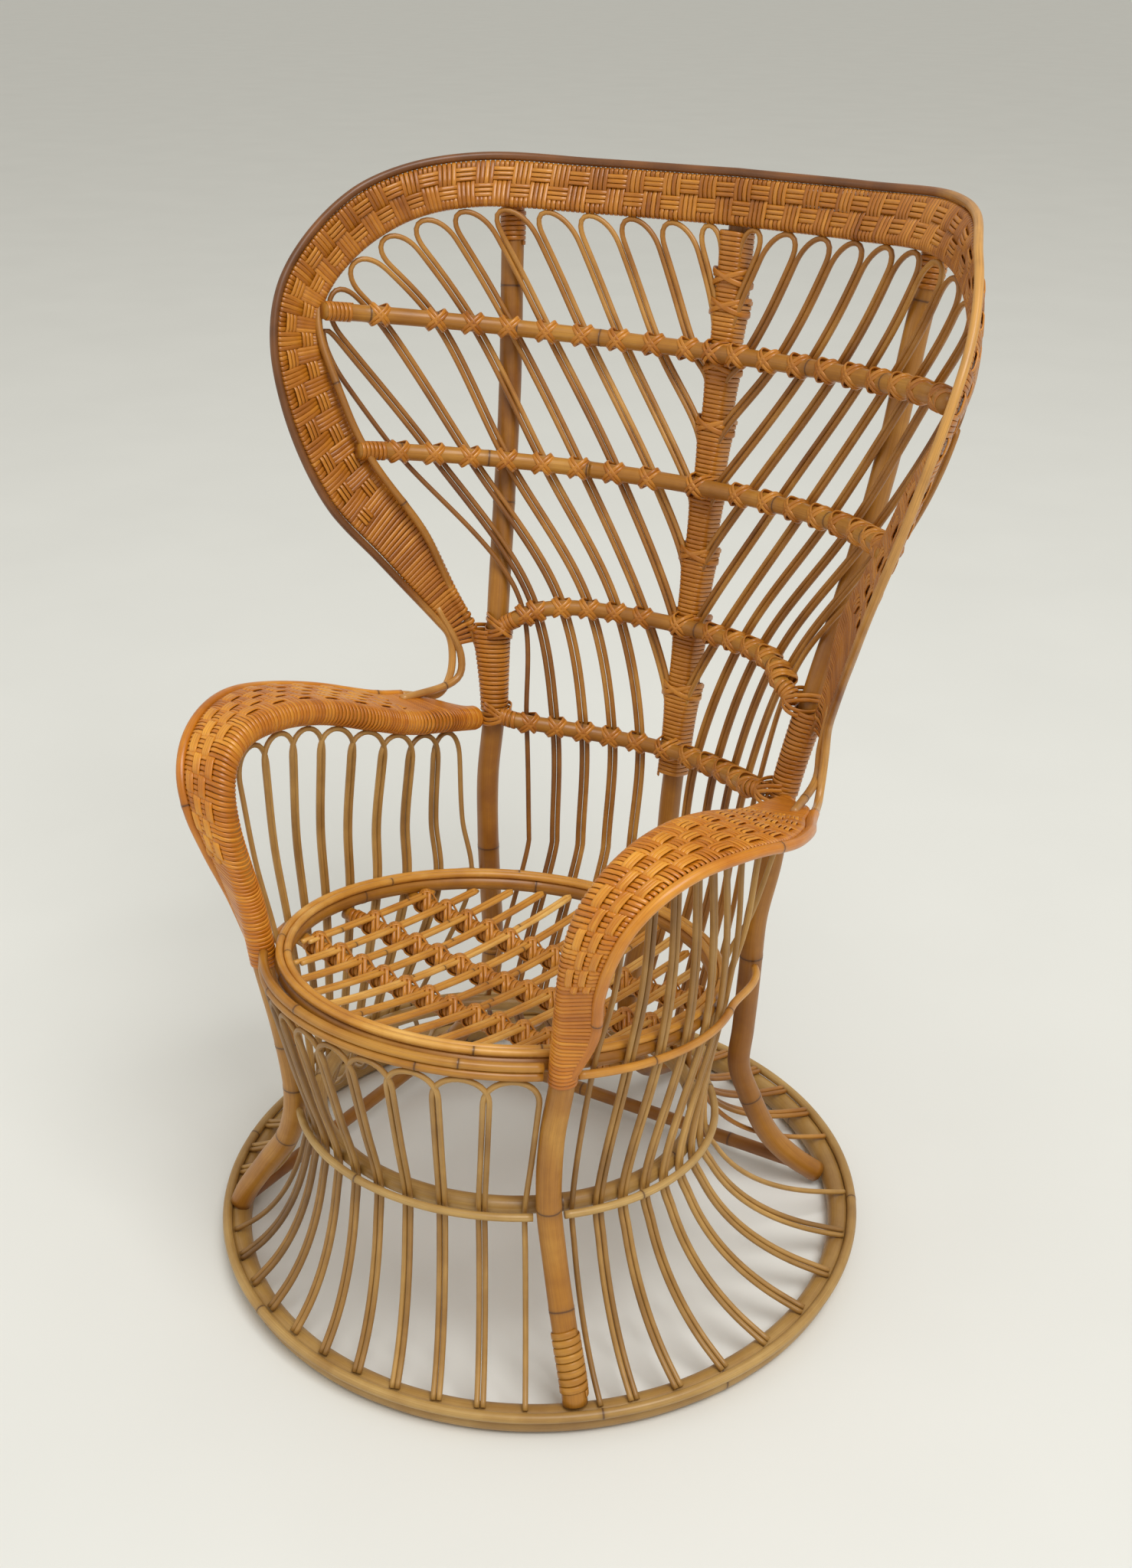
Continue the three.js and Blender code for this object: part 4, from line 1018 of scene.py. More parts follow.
inner_along = np.linspace(0, half_length, 40)
inner_top = on_band(inner_along, band_edge(inner_along) - band_cane, 0.0)
inner_low = [on_back(upright_at(w) + beyond, w, inner_out) for w, beyond in inner_ends]
inner_line = spline(np.vstack([inner_top, inner_low]), path_spacing)
lone_pole("back_band_stem", both_halves(inner_line), inner_radius, from_back_axis, cane_finish, "cane",
          "back_band_cane", sides=12, tone=0.5)

# %% [markdown]
# The rim is a stained cane round the outside of the band. It goes down past the band in a gooseneck to the
# arm, with a second cane beside it. It is darkest over the top and along the right wing. The bare lower
# ends are honey-coloured, and so is the left wing, partly its own colour and partly a painted highlight
# where the light falls on it. Two materials would meet in a hard line, so one tone changes along its length.

# %% Rim and goosenecks
rim_radius = 4.7
rim_step = 1.6
rim_fade = (0.85, 1)
rim_dark = 0.26
rim_gain = 0.7
rim_gain_x = (200, 360)
rim_honey = 0.95
rim_honey_ends = (90, 330)
neck_inset = [9, 0, 4]
neck_start = (40.0, 10.0)
neck_lean = 0.25
neck_shift = [0, -14, 6]

rim_along = np.linspace(0, half_length, 45)
rim_shift = -rim_step * (1 - ease(*rim_fade, rim_along / half_length))
rim_half = spline(np.vstack([on_band(rim_along, rim_shift, 0.0), neck_line, neck_end]), path_spacing)
rim_line = both_halves(rim_half)
rim_run = distance_along(rim_line)
rim_rest = np.minimum(rim_run, rim_run[-1] - rim_run)
# Lighter toward the left wing: partly the cane's own colour, partly a painted highlight where the light
# falls.
wing_tone_and_highlight = rim_dark + rim_gain * ease(*rim_gain_x, rim_line[:, 0])
rim_tone = np.maximum(wing_tone_and_highlight, rim_honey * (1 - ease(*rim_honey_ends, rim_rest)))
rim = Bundle()
rim.add(sweep(rim_line, round_section(rim_radius, 14), from_back_axis(rim_line)), rim_tone[None])
make_piece(rim, "back_rim_stem", rim_finish, "cane", "back_rim_cane")

neck_beside = on_back(*(gooseneck - neck_inset).T)
landing = neck_end + neck_lean * (np.array(arm_pole[-1]) - neck_end) + neck_shift
neck_top = on_band(half_length - neck_start[0], neck_start[1], 0.0)
neck_half = spline(np.vstack([neck_top, neck_beside[:2], landing]), path_spacing)
for name, side in sides.items():
    lone_pole(f"gooseneck_{name}_cane", flip(neck_half, side), rim_radius, across, rim_finish, "cane",
              sides=12, tone=0.85)

# %% [markdown]
# Peel is wrapped round the whole band, strand beside strand. Where long threads pass over and under the
# wraps, the wraps rise and sink. Bump on a smooth band could draw this, but the edge of the band and its
# mesh would stay smooth, so each wrap is a closed strand of its own.

# %% Band wraps
wrap_pitch = 5.7
wrap_width = 5.3
wrap_wave = 1.7
peel_thickness = 1.7
threads = np.array([0.25, 0.7])
thread_spread = 0.2
thread_end = 930
thread_fade = 40
group = 4
weave_sharpness = 3
outer_round = 3.4
wrap_room = 0.9
inner_round = band_cane + wrap_room
inner_swell = (0.7, 1)
band_low = rim_radius - rim_step + wrap_room + outer_round
face_share = np.linspace(0, 1, 16)[None]
arc = np.radians(np.linspace(-90, 90, 7)[1:-1])[None]


def over_under(place, run):
    """Plus one for one run, minus one for the next, with soft steps: tanh(3 sin(pi place / run))."""
    return np.tanh(weave_sharpness * np.sin(np.pi * place / run))


def thread_weight(along):
    """One on the basket-woven part of the band, falling to nothing where the threads end."""
    return 1 - ease(thread_end - thread_fade, thread_end, np.abs(along))


def thread_bump(share):
    """Where the two sets of threads lie across the band: plus at the first set, minus at the second."""
    return bell(share - threads[0], thread_spread, 4) - bell(share - threads[1], thread_spread, 4)


def band_wraps(along):
    """Closed strands: down the band's front, round the inner cane, up its rear and round the outer edge."""
    along = along[:, None]
    high = band_edge(along) - band_cane
    thick = outer_round + (inner_round - outer_round) * ease(*inner_swell, face_share)
    wave = wrap_wave * over_under(along, group * wrap_pitch) * thread_weight(along) * thread_bump(face_share)
    face = band_low + (high - band_low) * face_share
    depth = [face, high + inner_round * np.cos(arc), face[:, ::-1], band_low - outer_round * np.cos(arc)]
    lift = [-thick - wave, inner_round * np.sin(arc), (thick + wave)[:, ::-1], -outer_round * np.sin(arc)]
    depth, lift = [np.hstack([np.broadcast_to(part, (len(along), part.shape[1])) for part in parts])
                   for parts in (depth, lift)]
    path = on_band(along, depth, lift)
    beside_it = on_band(along + 1.0, depth, lift) - on_band(along - 1.0, depth, lift)
    return sweep(path, strip_section(wrap_width, peel_thickness), unit(beside_it), closed=True)


wrap_count = int((half_length + band_tail) / wrap_pitch)
band_nodes = {"left": ["back_woven_band"], "right": []}
for name, side in sides.items():
    half = Bundle()
    places = side * (np.arange(wrap_count) + 0.5) * wrap_pitch
    half.add(band_wraps(places), chance.uniform(0.3, 0.75, wrap_count), closed=True)
    make_piece(half, f"back_band_wraps_{name}", peel_finish, "peel", *band_nodes[name])

# %% [markdown]
# Two sets of three long strands are threaded through the wraps, over four and under four. The sets change
# places, which makes the basket pattern. Down the sides the threads stop and the wraps go on alone. The
# threads use the wraps' own wave with its sign turned round, so the two never meet.

# %% Band threads
thread_offsets = (-5.2, 0.0, 5.2)
thread_width = 4.9
thread_swing = 1.9
thread_rise = 0.5
thread_run = np.linspace(-thread_end, thread_end, int(2 * thread_end / 3.2))
band_threads = Bundle()
for face, (place, turn), offset in itertools.product((-1, 1), zip(threads, (1, -1)), thread_offsets):
    depth = band_low + (band_edge(thread_run) - band_cane - band_low) * place + offset
    swing = -thread_swing * over_under(thread_run, group * wrap_pitch) * turn
    path = on_band(thread_run, depth, face * (outer_round + thread_rise + swing))
    into = on_band(thread_run, depth + 1, 0.0) - on_band(thread_run, depth - 1, 0.0)
    rings = sweep(path, strip_section(thread_width, peel_thickness), unit(into))
    band_threads.add(rings, chance.uniform(0.5, 0.8))
make_piece(band_threads, "back_band_threads", peel_finish, "peel")

# %% [markdown]
# Four poles cross the back on the sitter's side. The two upper ones end at the band and the two lower ones
# at the uprights, which they curve back to meet. Height and distance off the back are functions of the
# share of the rail's length, because the ties need them again at each crossing.

# %% Back rails
rail_heights = [1036, 882, 720, 562]
rail_reach = [497, 440, float(upright_at(680)), float(upright_at(562))]
rail_tubes = [9.8, 9.8, 9.4, 9.4]
rail_room = 11
low_rail_room = 10
rail_in = -(facet(rail_room, pole_sides) + band_cane + 1.5 * clearance)
low_rail_in = -(low_rail_room + cane_radius + 3 * clearance)
low_rail_end = pole_out - facet(upright_radius, pole_sides) - facet(low_rail_room, pole_sides) - clearance
low_rail_ease = (0.9, 1)
arch_drop = 40
arch_dip = 6
lowest_rise = 10
lowest_dip = 14


def rail_height(k, f):
    """Height of rail k at share f of its half: two level, one arch that drops at its ends, one dip."""
    f = np.asarray(f, float)
    if k < 2:
        return np.full(f.shape, float(rail_heights[k]))
    if k == 2:
        return rail_heights[2] - arch_drop * np.abs(f) ** 6 - arch_dip * (1 - f * f)
    return rail_heights[3] + lowest_rise - lowest_dip * (1 - f * f)


def rail_out(k, f):
    """How far rail k lies off the back: to the sitter's side, the low ones easing back to the uprights."""
    f = np.asarray(f, float)
    if k < 2:
        return np.full(f.shape, rail_in)
    return low_rail_in + (low_rail_end - low_rail_in) * ease(*low_rail_ease, np.abs(f))


rail_share = np.linspace(-1, 1, 160)
rail_paths = []
for k in range(4):
    path = on_back(rail_share * rail_reach[k], rail_height(k, rail_share), rail_out(k, rail_share))
    rail_paths.append(path)
    lone_pole(f"back_rail_{k + 1}_pole", path, rail_tubes[k], up, pole_finish, "pole", f"back_rail_{k + 1}",
              tone=0.5, knots=(70.0, 150.0))

# %% [markdown]
# The open work is hairpins: each thin cane goes up, turns over in a loop and comes down beside its
# neighbour, so that the legs lie in touching pairs. A loop could be an arc of a circle, but stems meet it
# at all angles, so it is a cubic Bezier that leaves each stem in the stem's own direction.

# %% Hairpin helpers
skirt_axis = -90
pair_gap = cane_radius + clearance / 2
loop_depth = 32
lift_handle = loop_depth / 0.75
cane_end = bead_radius - bead_tube - 2 * clearance - 2 * pair_gap
cane_end_height = 2 * base_height + cane_radius + pair_gap
flare_out = 0.2
flare_up = 0.28
tuck = 6.0
cane_spacing = 6.0
tone_spread = 0.14
tone_wave, tone_wave_length = 0.06, 70


def flare(waist_angle, base_angle):
    """From waist to bead: a quadratic Bezier that bends early and low down, then straight on."""
    top = on_waist(waist_cane, waist_angle)
    foot = on_base(cane_end, base_angle, cane_end_height)
    bend = top + flare_out * (foot - top)
    bend[2] = foot[2] + flare_up * (top[2] - foot[2])
    t = np.linspace(0, 1, 7)[:, None]
    curve = (1 - t) ** 2 * top + 2 * t * (1 - t) * bend + t ** 2 * foot
    return np.vstack([curve, foot + unit(foot - bend) * tuck])


def beside(line):
    """The level way across a stem of the skirt: square to its path and to the way out from the middle."""
    return -unit(np.cross(outward(line, waist_centre[0]), np.gradient(line, axis=0)))


def hairpins(stems, tones, name, finish, node):
    """Up the far leg of one stem, over a cubic Bezier loop, and down the near leg of the next."""
    bundle = Bundle()
    t = np.linspace(0, 1, 18)[1:-1, None]
    last = len(stems) - 1
    for k in range(last):
        line, aside = stems[k]
        rise = (line + aside * (pair_gap if k > 0 else 0.0))[::-1]
        line, aside = stems[k + 1]
        fall = line - aside * (pair_gap if k + 1 < last else 0.0)
        top = rise[-1] + unit(rise[-1] - rise[-3]) * lift_handle
        over = fall[0] + unit(fall[0] - fall[2]) * lift_handle
        loop = (1 - t) ** 3 * rise[-1] + 3 * t * (1 - t) ** 2 * top
        loop = loop + 3 * t ** 2 * (1 - t) * over + t ** 3 * fall[0]
        path = respace(np.vstack([rise, loop, fall]), cane_spacing)
        tone = tones[0] + (tones[1] - tones[0]) * k / last + chance.uniform(-tone_spread, tone_spread)
        rings = sweep(path, round_section(cane_radius, 10), unit(outward(path, skirt_axis)) + up)
        bundle.add(rings, tone + tone_wave * np.sin(distance_along(path) / tone_wave_length + k)[None])
    make_piece(bundle, name, finish, "cane", node)


print("cane ends", round(cane_end_height, 1), "mm up, on a circle of", round(cane_end, 1), "mm")

# %% [markdown]
# In front the hairpins hang under the seat rail, pass between the waist's ring and hoop, and flare out to
# the bead. They stand a little closer together toward one side, as on the real chair, so each stem's angle
# is a middle, a reach and a bow.

# %% Front hairpins
front_count = 11
seat_fan = (-7.5, 43.5, 9)
waist_fan = (-8.8, 40.9, 8.4)
base_fan = (base_turn, 37.2, 0)
front_top_in = 2.2
front_top_drop = seat_room + 1 + loop_depth


def fan_angle(fan, f):
    """Angle of a stem at share f: middle + reach * f + bow * f * f."""
    return fan[0] + fan[1] * f + fan[2] * f * f


front_stems = []
for f in np.linspace(-1, 1, front_count):
    top = on_seat(rail_grow - seat_room - front_top_in, fan_angle(seat_fan, f), -front_top_drop)
    waist_angle = fan_angle(waist_fan, f)
    middle = (top + on_waist(waist_cane, waist_angle)) / 2
    line = spline(np.vstack([top, middle, flare(waist_angle, fan_angle(base_fan, f))]), cane_spacing)
    front_stems.append((line, beside(line)))
hairpins(front_stems, (0.35, 0.65), "front_hairpins", skirt_finish, "front_canes")

# %% [markdown]
# At the sides the loops hang under the arms, and the stems run down outside the seat ring to the waist and
# the bead. Their tops are read off the arm pole's own path, so that they follow its slope.

# %% Side hairpins
side_count = 9
arm_floor = 400
side_first = -204
side_last_gap = 26
side_seat = (57, 78)
side_waist = (53, 60)
side_base = 120.8
beside_foot = 4
base_crowding = 1.25
seat_drop = 4
side_bow = 5


def side_stem(f, side, leg):
    """Stem at share f from front to rear: from the arm past the seat and the waist to the bead."""
    arm = leg[int(np.argmin(leg[:, 1] + arm_floor * (leg[:, 2] < arm_floor))):]
    y = side_first + f * (leg[-1, 1] - side_last_gap - side_first)
    top = np.array([np.interp(y, arm[:, 1], arm[:, 0]), y, np.interp(y, arm[:, 1], arm[:, 2])])
    top[2] -= leg_radius + cane_radius + 6 * clearance + loop_depth
    seat = on_seat(seat_cane, side * (side_seat[0] + f * side_seat[1]), -seat_drop)
    middle = (top + seat) / 2 + [side_bow * side, 0, 0]
    start = side * front_foot_angle + base_turn + side * beside_foot
    base_angle = start + (side * side_base - start) * f ** base_crowding
    waist_angle = side * (side_waist[0] + f * side_waist[1])
    line = spline(np.vstack([top, middle, seat, flare(waist_angle, base_angle)]), cane_spacing)
    return line, beside(line)


for name, side in sides.items():
    stems = [side_stem(f, side, front_legs[name]) for f in np.linspace(0, 1, side_count)]
    hairpins(stems[::side], (0.6, 0.75), f"side_hairpins_{name}", skirt_finish, f"side_canes_{name}")

# %% [markdown]
# On the back the loops hang from the woven band. Eight stems of each half sweep in and end under the centre
# pole's binding, and five go on down behind the seat to the bead. The stems are laid out on the flat drawing,
# through their crossings with the rails, because those crossings can be counted and measured there.

# %% Back stems, flat
back_count = 13
short_count = 8
loop_pitch = 50.0
loop_first = 13.0
crossing_start = [-56, -163, -192, -246]
crossing_pitch = [45.2, 45.7, 35.5, 36]
crossing_last = [27, 0, -20, 0]
first_crossing = [2, 4, 7, 8]
last_crossing = [10, 12, 12, 12]
crossing_room = 34
meet_top, meet_pitch, meet_gain = 1134, 60, 2
meet_s = 10
tuck_s, tuck_drop = 5, 42
seat_rear_s, seat_rear_pitch, seat_rear_w = -228, 33, 410

loop_run = np.linspace(0, half_length, 400)
loop_edge = (band_width * band_share(loop_run / half_length) + cane_radius + clearance)[:, None]
loop_frame = sampled(loop_run, flat_length, flat_frame)
loop_line = loop_frame[:, :2] + loop_edge * loop_frame[:, [4, 3]] * [1, -1]


def meet_height(n):
    """Height where cane n reaches the centre pole: closer together at the top than lower down."""
    return meet_top - meet_pitch * max(n, 0.5) - meet_gain * n * n


def flat_stem(n):
    """Cane n of one half, flat: from the band past its rails, then in under the binding or to the seat."""
    top = at_distance(loop_line, max(loop_first, loop_pitch * n))
    points = [top]
    for k in range(4):
        if n >= first_crossing[k] and top[1] > rail_heights[k] + crossing_room:
            last = crossing_last[k] if n == last_crossing[k] else 0
            points.append([crossing_start[k] + crossing_pitch[k] * n + last, rail_heights[k]])
    if n < short_count:
        points += [[meet_s, meet_height(n)], [tuck_s, meet_height(n) - tuck_drop]]
    else:
        points.append([seat_rear_s + seat_rear_pitch * n, seat_rear_w])
    return spline(points, 2.0)


flat_stems = [flat_stem(n) for n in range(back_count)]
print("longest stem on the drawing", round(max(distance_along(flat)[-1] for flat in flat_stems)), "mm")

# %% [markdown]
# The flat stems are now bent round the back, and the long ones go on below the seat, where they spread with
# the other canes of the base. Their loops could be drawn flat too, but the function that made the other
# rows of hairpins makes these as well.

# %% Back hairpins
waist_pitch = 8.5
foot_pitch = 8.4
# Each half's tone falls from the middle stem to the outer one. This is painted shade of the backlit back,
# strong on the sitter's right and slight on the sitter's left.
back_painted_shade_tones = {"left": (0.5, 0.42), "right": (0.72, 0.28)}


def back_stem(n):
    """Cane n bent round the back, with its way aside; a long one goes on through the waist to the bead."""
    flat = flat_stems[n]
    whole = distance_along(flat)[-1]
    start = min(loop_depth / whole, 0.5)
    flat = respace(at_distance(flat, np.linspace(start * whole, whole, 80)), cane_spacing)
    slope = unit(np.gradient(flat, axis=0))
    line = on_back(flat[:, 0], flat[:, 1])
    aside = unit(on_back(flat[:, 0] - slope[:, 1], flat[:, 1] + slope[:, 0]) - line)
    if n < short_count:
        return line, aside
    place = n - short_count + 1
    low = flare(180 - waist_pitch * place, 180 - foot_pitch * place)
    lower = spline(np.vstack([line[-6], line[-1], low]), cane_spacing)
    lower = lower[int(np.argmin(np.linalg.norm(lower - line[-1], axis=1))) + 1:]
    line = np.vstack([line, lower])
    return line, np.vstack([aside, beside(line)[-len(lower):]])


back_stems = [back_stem(n) for n in range(back_count)]
for name, side in sides.items():
    stems = [(flip(line, side), flip(aside, side)) for line, aside in back_stems]
    hairpins(stems, back_painted_shade_tones[name], f"back_hairpins_{name}", cane_finish, f"back_canes_{name}")

# %% [markdown]
# Peel pulled tight round two stems lies on an arc of each and runs straight between them, like a belt on
# two pulleys. The arms' wraps and all the lashings have that shape, so one function gives it. An oval would
# be simpler, but it would cut into one stem or stand off the other.

# %% The loop round two circles
def straight_run(span, first, second):
    """Slope and length of the belt's straight part: sin(tip) = (r1 - r2) / span."""
    return np.arcsin((first - second) / span), np.sqrt(span ** 2 - (first - second) ** 2)


def two_circles(span, first, second, share):
    """The tight loop round circles a span apart, by share of its length from the first one's far side."""
    tip, straight = straight_run(span, first, second)
    arc_one = first * (np.pi / 2 + tip)
    arc_two = second * (np.pi - 2 * tip)
    walk = share * (2 * arc_one + 2 * straight + arc_two)
    one = walk / first
    flat_one = walk - arc_one
    two = (flat_one - straight) / second
    flat_two = flat_one - straight - arc_two
    back = (flat_two - straight) / first
    sine, cosine = np.sin(tip), np.cos(tip)
    runs = [
        (-first * np.cos(one), first * np.sin(one)),
        (first * sine + flat_one * cosine, first * cosine - flat_one * sine),
        (span + second * np.sin(tip + two), second * np.cos(tip + two)),
        (span + second * sine - flat_two * cosine, -second * cosine - flat_two * sine),
        (first * np.sin(tip - back), -first * np.cos(tip - back)),
    ]
    tests = [flat_one < 0, flat_one < straight, flat_two < 0, flat_two < straight]
    x, y = [np.select(tests, [run[axis] for run in runs[:4]], runs[4][axis]) for axis in (0, 1)]
    top_share = np.where(tests[0] | ~tests[1], -1.0, flat_one / straight)
    return x, y, top_share


belt = np.stack(two_circles(40.0, 10.0, 5.0, np.linspace(0, 1, 400))[:2], axis=-1)
print("a loop round 10 and 5 mm stems 40 mm apart is", round(distance_along(belt)[-1], 1), "mm long")

# %% [markdown]
# Each arm is wrapped all round, over the pole on the inside and the edge cane on the outside. First the
# arm gets its own frame at every wrap: a place on the pole, the way to the cane, the way off the upper face
# and the way on to the next wrap. Pole and cane are one spline in six numbers, so that they keep in step.

# %% Frame of the arms
arm_pitch = 5.2
edge_inset = 11.0
edge_inset_start = (8, 26)
edge_inset_end = (16, 6)
wrap_start = 404.0
cane_start = 4.0
cane_finish_gap = (8.0, 4.0)


def arm_frame(side, leg):
    """For each wrap a pole place, the span to the cane, and unit ways to it, off the face and ahead."""
    low = crossing_point(leg, wrap_start)
    end = leg[-1]
    late = (end + flip(arm_pole[-1], side)) / 2
    pole_knots = np.vstack([low, flip(arm_pole[1:], side), late, end])
    last = end + [side * cane_finish_gap[0], 0.0, cane_finish_gap[1]]
    first = low + [side * cane_start, 0.0, 0.0]
    cane_knots = np.vstack([first, flip(arm_cane[1:], side), flip(neck_end, side), last])
    both = spline(np.hstack([pole_knots, cane_knots]), arm_pitch * math.sqrt(2))
    wraps = np.arange(len(both))
    inner = both[:, :3]
    outer = both[:, 3:]
    leave = 1 - ease(len(both) - edge_inset_end[0], len(both) - edge_inset_end[1], wraps)
    clear_edge = edge_inset * ease(*edge_inset_start, wraps) * leave
    outer = outer - unit(outer - inner) * clear_edge[:, None]
    span = np.linalg.norm(outer - inner, axis=1)[:, None]
    toward = unit(outer - inner)
    along = unit(np.gradient((inner + outer) / 2, axis=0))
    face = unit(np.cross(toward, along)) * side
    return inner, span, toward, face, unit(np.cross(face, toward))


arm_frames = {name: arm_frame(side, front_legs[name]) for name, side in sides.items()}
print("wraps on an arm", len(arm_frames["left"][0]))

# %% [markdown]
# On the upper and outer face four columns of threads make a basket pattern, and low down in front the wraps
# go on alone. As on the band, wraps and threads share one wave with opposite signs.

# %% Woven arms
arm_width = 5.0
arm_columns = np.array([0.16, 0.39, 0.62, 0.85])
arm_signs = np.array([1, -1, 1, -1])
arm_offsets = (-0.068, 0.0, 0.068)
arm_share = (np.arange(56) / 56)[None]
arm_bump = 0.11
arm_wave = 1.6
arm_thread_width = 4.6
arm_thread_swing = 1.8
arm_woven = (25, 30)
arm_plain = (30, 26)
arm_threads = (26, 27)
least_span = 10.2
pole_loop = leg_radius + wrap_room
cane_loop = 4.6


def arm_wraps(inner, span, toward, face, ahead):
    """Closed loops round pole and cane, lifted off the face by the wave where a column of threads passes."""
    count = len(inner)
    wraps = np.arange(count)
    wave = over_under(wraps + 0.5, group)[:, None]
    woven = ease(*arm_woven, wraps) * (1 - ease(count - arm_plain[0], count - arm_plain[1], wraps))
    x, y, top = two_circles(np.maximum(span, least_span), pole_loop, cane_loop, arm_share)
    bumps = (arm_signs * bell(top[..., None] - arm_columns, arm_bump, 4)).sum(axis=-1)
    lift = np.where(top >= 0, woven[:, None] * wave * bumps * arm_wave, 0.0)
    path = inner[:, None] + x[..., None] * toward[:, None] + (y + lift)[..., None] * face[:, None]
    return sweep(path, strip_section(arm_width, peel_thickness), ahead[:, None], closed=True)


def arm_thread_rings(inner, span, toward, face, ahead):
    """Threads along the belt's upper straight part, each over four wraps and under the next four."""
    count = len(inner)
    wraps = np.arange(count)
    tip, run = straight_run(np.maximum(span[:, 0], least_span), pole_loop, cane_loop)
    fine = np.linspace(arm_threads[0], count - arm_threads[1], (count - sum(arm_threads)) * 3)
    rings = []
    for (column, turn), offset in itertools.product(zip(arm_columns, arm_signs), arm_offsets):
        flat_one = (column + offset) * run
        px = pole_loop * np.sin(tip) + flat_one * np.cos(tip)
        py = pole_loop * np.cos(tip) - flat_one * np.sin(tip)
        base = inner + px[:, None] * toward + py[:, None] * face
        place, out, cross = [sampled(fine, wraps, rows) for rows in (base, face, toward)]
        swing = thread_rise - arm_thread_swing * turn * over_under(fine + 0.5, group)
        path = place + swing[:, None] * out
        rings.append(sweep(path, strip_section(arm_thread_width, peel_thickness), cross))
    return np.array(rings)


for name in sides:
    wrap_rings = arm_wraps(*arm_frames[name])
    thread_rings = arm_thread_rings(*arm_frames[name])
    arm = Bundle()
    arm.add(wrap_rings, chance.uniform(0.35, 0.7, len(wrap_rings)), closed=True)
    arm.add(thread_rings, chance.uniform(0.6, 0.85, len(thread_rings)))
    make_piece(arm, f"arm_weave_{name}", arm_finish, "peel", f"arm_panel_{name}")

# %% [markdown]
# Peel is also wound round poles as bindings: a flat strip on a helix, laid edge to edge. A plain sleeve with
# a striped bump would look much the same from afar, but not at its edges. Round bindings are on the left
# front foot, on the seat's cross bars and at the ends of the back's rails.

# %% Round bindings
turn_rows = 26
aim_step = 5
bar_pitch = 6.0
bar_bare = 12
rail_turns = (6, 6, 4, 4)
wind_room = 0.3
bar_sink = 0.4


def winding(bundle, path, radius, start, turns, pitch, width, tone=0.6, reference=across):
    """A helix round a pole: centre(d) + r (e1 cos q + e2 sin q), d going on by the pitch in each turn."""
    turn = np.linspace(0, turns, int(turns * turn_rows) + 1)
    distance = start + pitch * turn
    centre = at_distance(path, distance)
    along = unit(at_distance(path, distance + aim_step) - at_distance(path, distance - aim_step))
    first = unit(reference - along * (along @ reference)[:, None])
    second = np.cross(along, first)
    angle = 2 * np.pi * turn[:, None]
    helix = centre + (radius + 0.5 * peel_thickness) * (first * np.cos(angle) + second * np.sin(angle))
    bundle.add(sweep(helix, strip_section(width, peel_thickness), along), tone)


foot = Bundle()
winding(foot, front_legs["left"], leg_radius + wind_room, start=12, turns=8, pitch=8.2, width=7.9)
make_piece(foot, "foot_binding_left_peel", pole_finish, "peel", "foot_binding_left")

bar_binding = Bundle()
for path in bar_paths:
    bar_turns = (distance_along(path)[-1] - 2 * bar_bare) / bar_pitch
    winding(bar_binding, path, bar_radius - bar_sink, bar_bare, bar_turns, bar_pitch, width=5.7,
            tone=chance.uniform(0.6, 0.8), reference=up)
make_piece(bar_binding, "seat_bar_binding", peel_finish, "peel")

rail_binding = Bundle()
for path, tube, turns in zip(rail_paths, rail_tubes, rail_turns):
    for line in (path, path[::-1]):
        winding(rail_binding, line, tube - wind_room, start=3, turns=turns, pitch=5.4, width=5.1,
                reference=up)
make_piece(rail_binding, "back_rail_end_binding", peel_finish, "peel")

# %% [markdown]
# Where a binding takes in more than the pole, it is oval: on the uprights where the arms and the band come
# in, and on the centre pole wherever a pair of canes from each side ends. It is widest at its top and draws
# in as it goes down. Slanted rings over it make the crossed ties that the photograph shows.

# %% Oval bindings
oval_rows = 28
oval_pitch = 5.4
oval_width = 5.2
ring_turn = 2 * np.pi * np.arange(32) / 32


def squared(wave, power):
    """A cosine or sine with its size raised to a power; under one it makes an oval fuller at its corners."""
    return np.sign(wave) * np.abs(wave) ** power


def oval_binding(bundle, top, turns, middle, halves, faces, side=1, pitch=oval_pitch, power=1.0, fall=1.5):
    """An oval helix: s = centre + h cos q, out = mean + d sin q, sinking by the pitch; h draws in."""
    turn = np.linspace(0, turns, int(turns * oval_rows) + 1)
    w = top - pitch * turn
    taper = (1 - turn / turns) ** fall
    wide, narrow = halves
    front, rear = faces
    half = narrow + (wide - narrow) * taper
    near = front - peel_thickness * taper
    s = middle(w, half - narrow) + half * squared(np.cos(2 * np.pi * turn), power)
    out = (near + rear) / 2 + (rear - near) / 2 * squared(np.sin(2 * np.pi * turn), power)
    path = on_back(side * s, w, out)
    bundle.add(sweep(path, strip_section(oval_width, peel_thickness), lean_up), chance.uniform(0.45, 0.8))


def slanted_ring(bundle, centre, height, slope, half, faces, width):
    """A closed oval ring: s = centre + h cos q, w = height + slope * h cos q, out = mean + d sin q."""
    s = half * np.cos(ring_turn)
    out = (faces[0] + faces[1]) / 2 + (faces[1] - faces[0]) / 2 * np.sin(ring_turn)
    path = on_back(centre + s, height + slope * s, out)[None]
    rings = sweep(path, strip_section(width, peel_thickness), lean_up, closed=True)
    bundle.add(rings, chance.uniform(0.5, 0.8), closed=True)


def beside_upright(w, extra):
    """An upright's distance from the middle, and the binding's extra width outside it."""
    return upright_at(w) + extra


def on_middle(w, extra):
    """The back's middle line."""
    return 0 * w


elbow_top = 676
elbow_turns = 19
elbow_pitch = 5.6
elbow_halves = (23, 15.5)
elbow_faces = (pole_out - elbow_halves[1], pole_out + elbow_halves[1])
for name, side in sides.items():
    elbow = Bundle()
    winding(elbow, uprights[name], upright_radius + wind_room, start=52, turns=7, pitch=elbow_pitch,
            width=oval_width)
    oval_binding(elbow, elbow_top, elbow_turns, beside_upright, elbow_halves, elbow_faces, side, elbow_pitch)
    make_piece(elbow, f"elbow_binding_{name}_peel", peel_finish, "peel", f"elbow_binding_{name}")

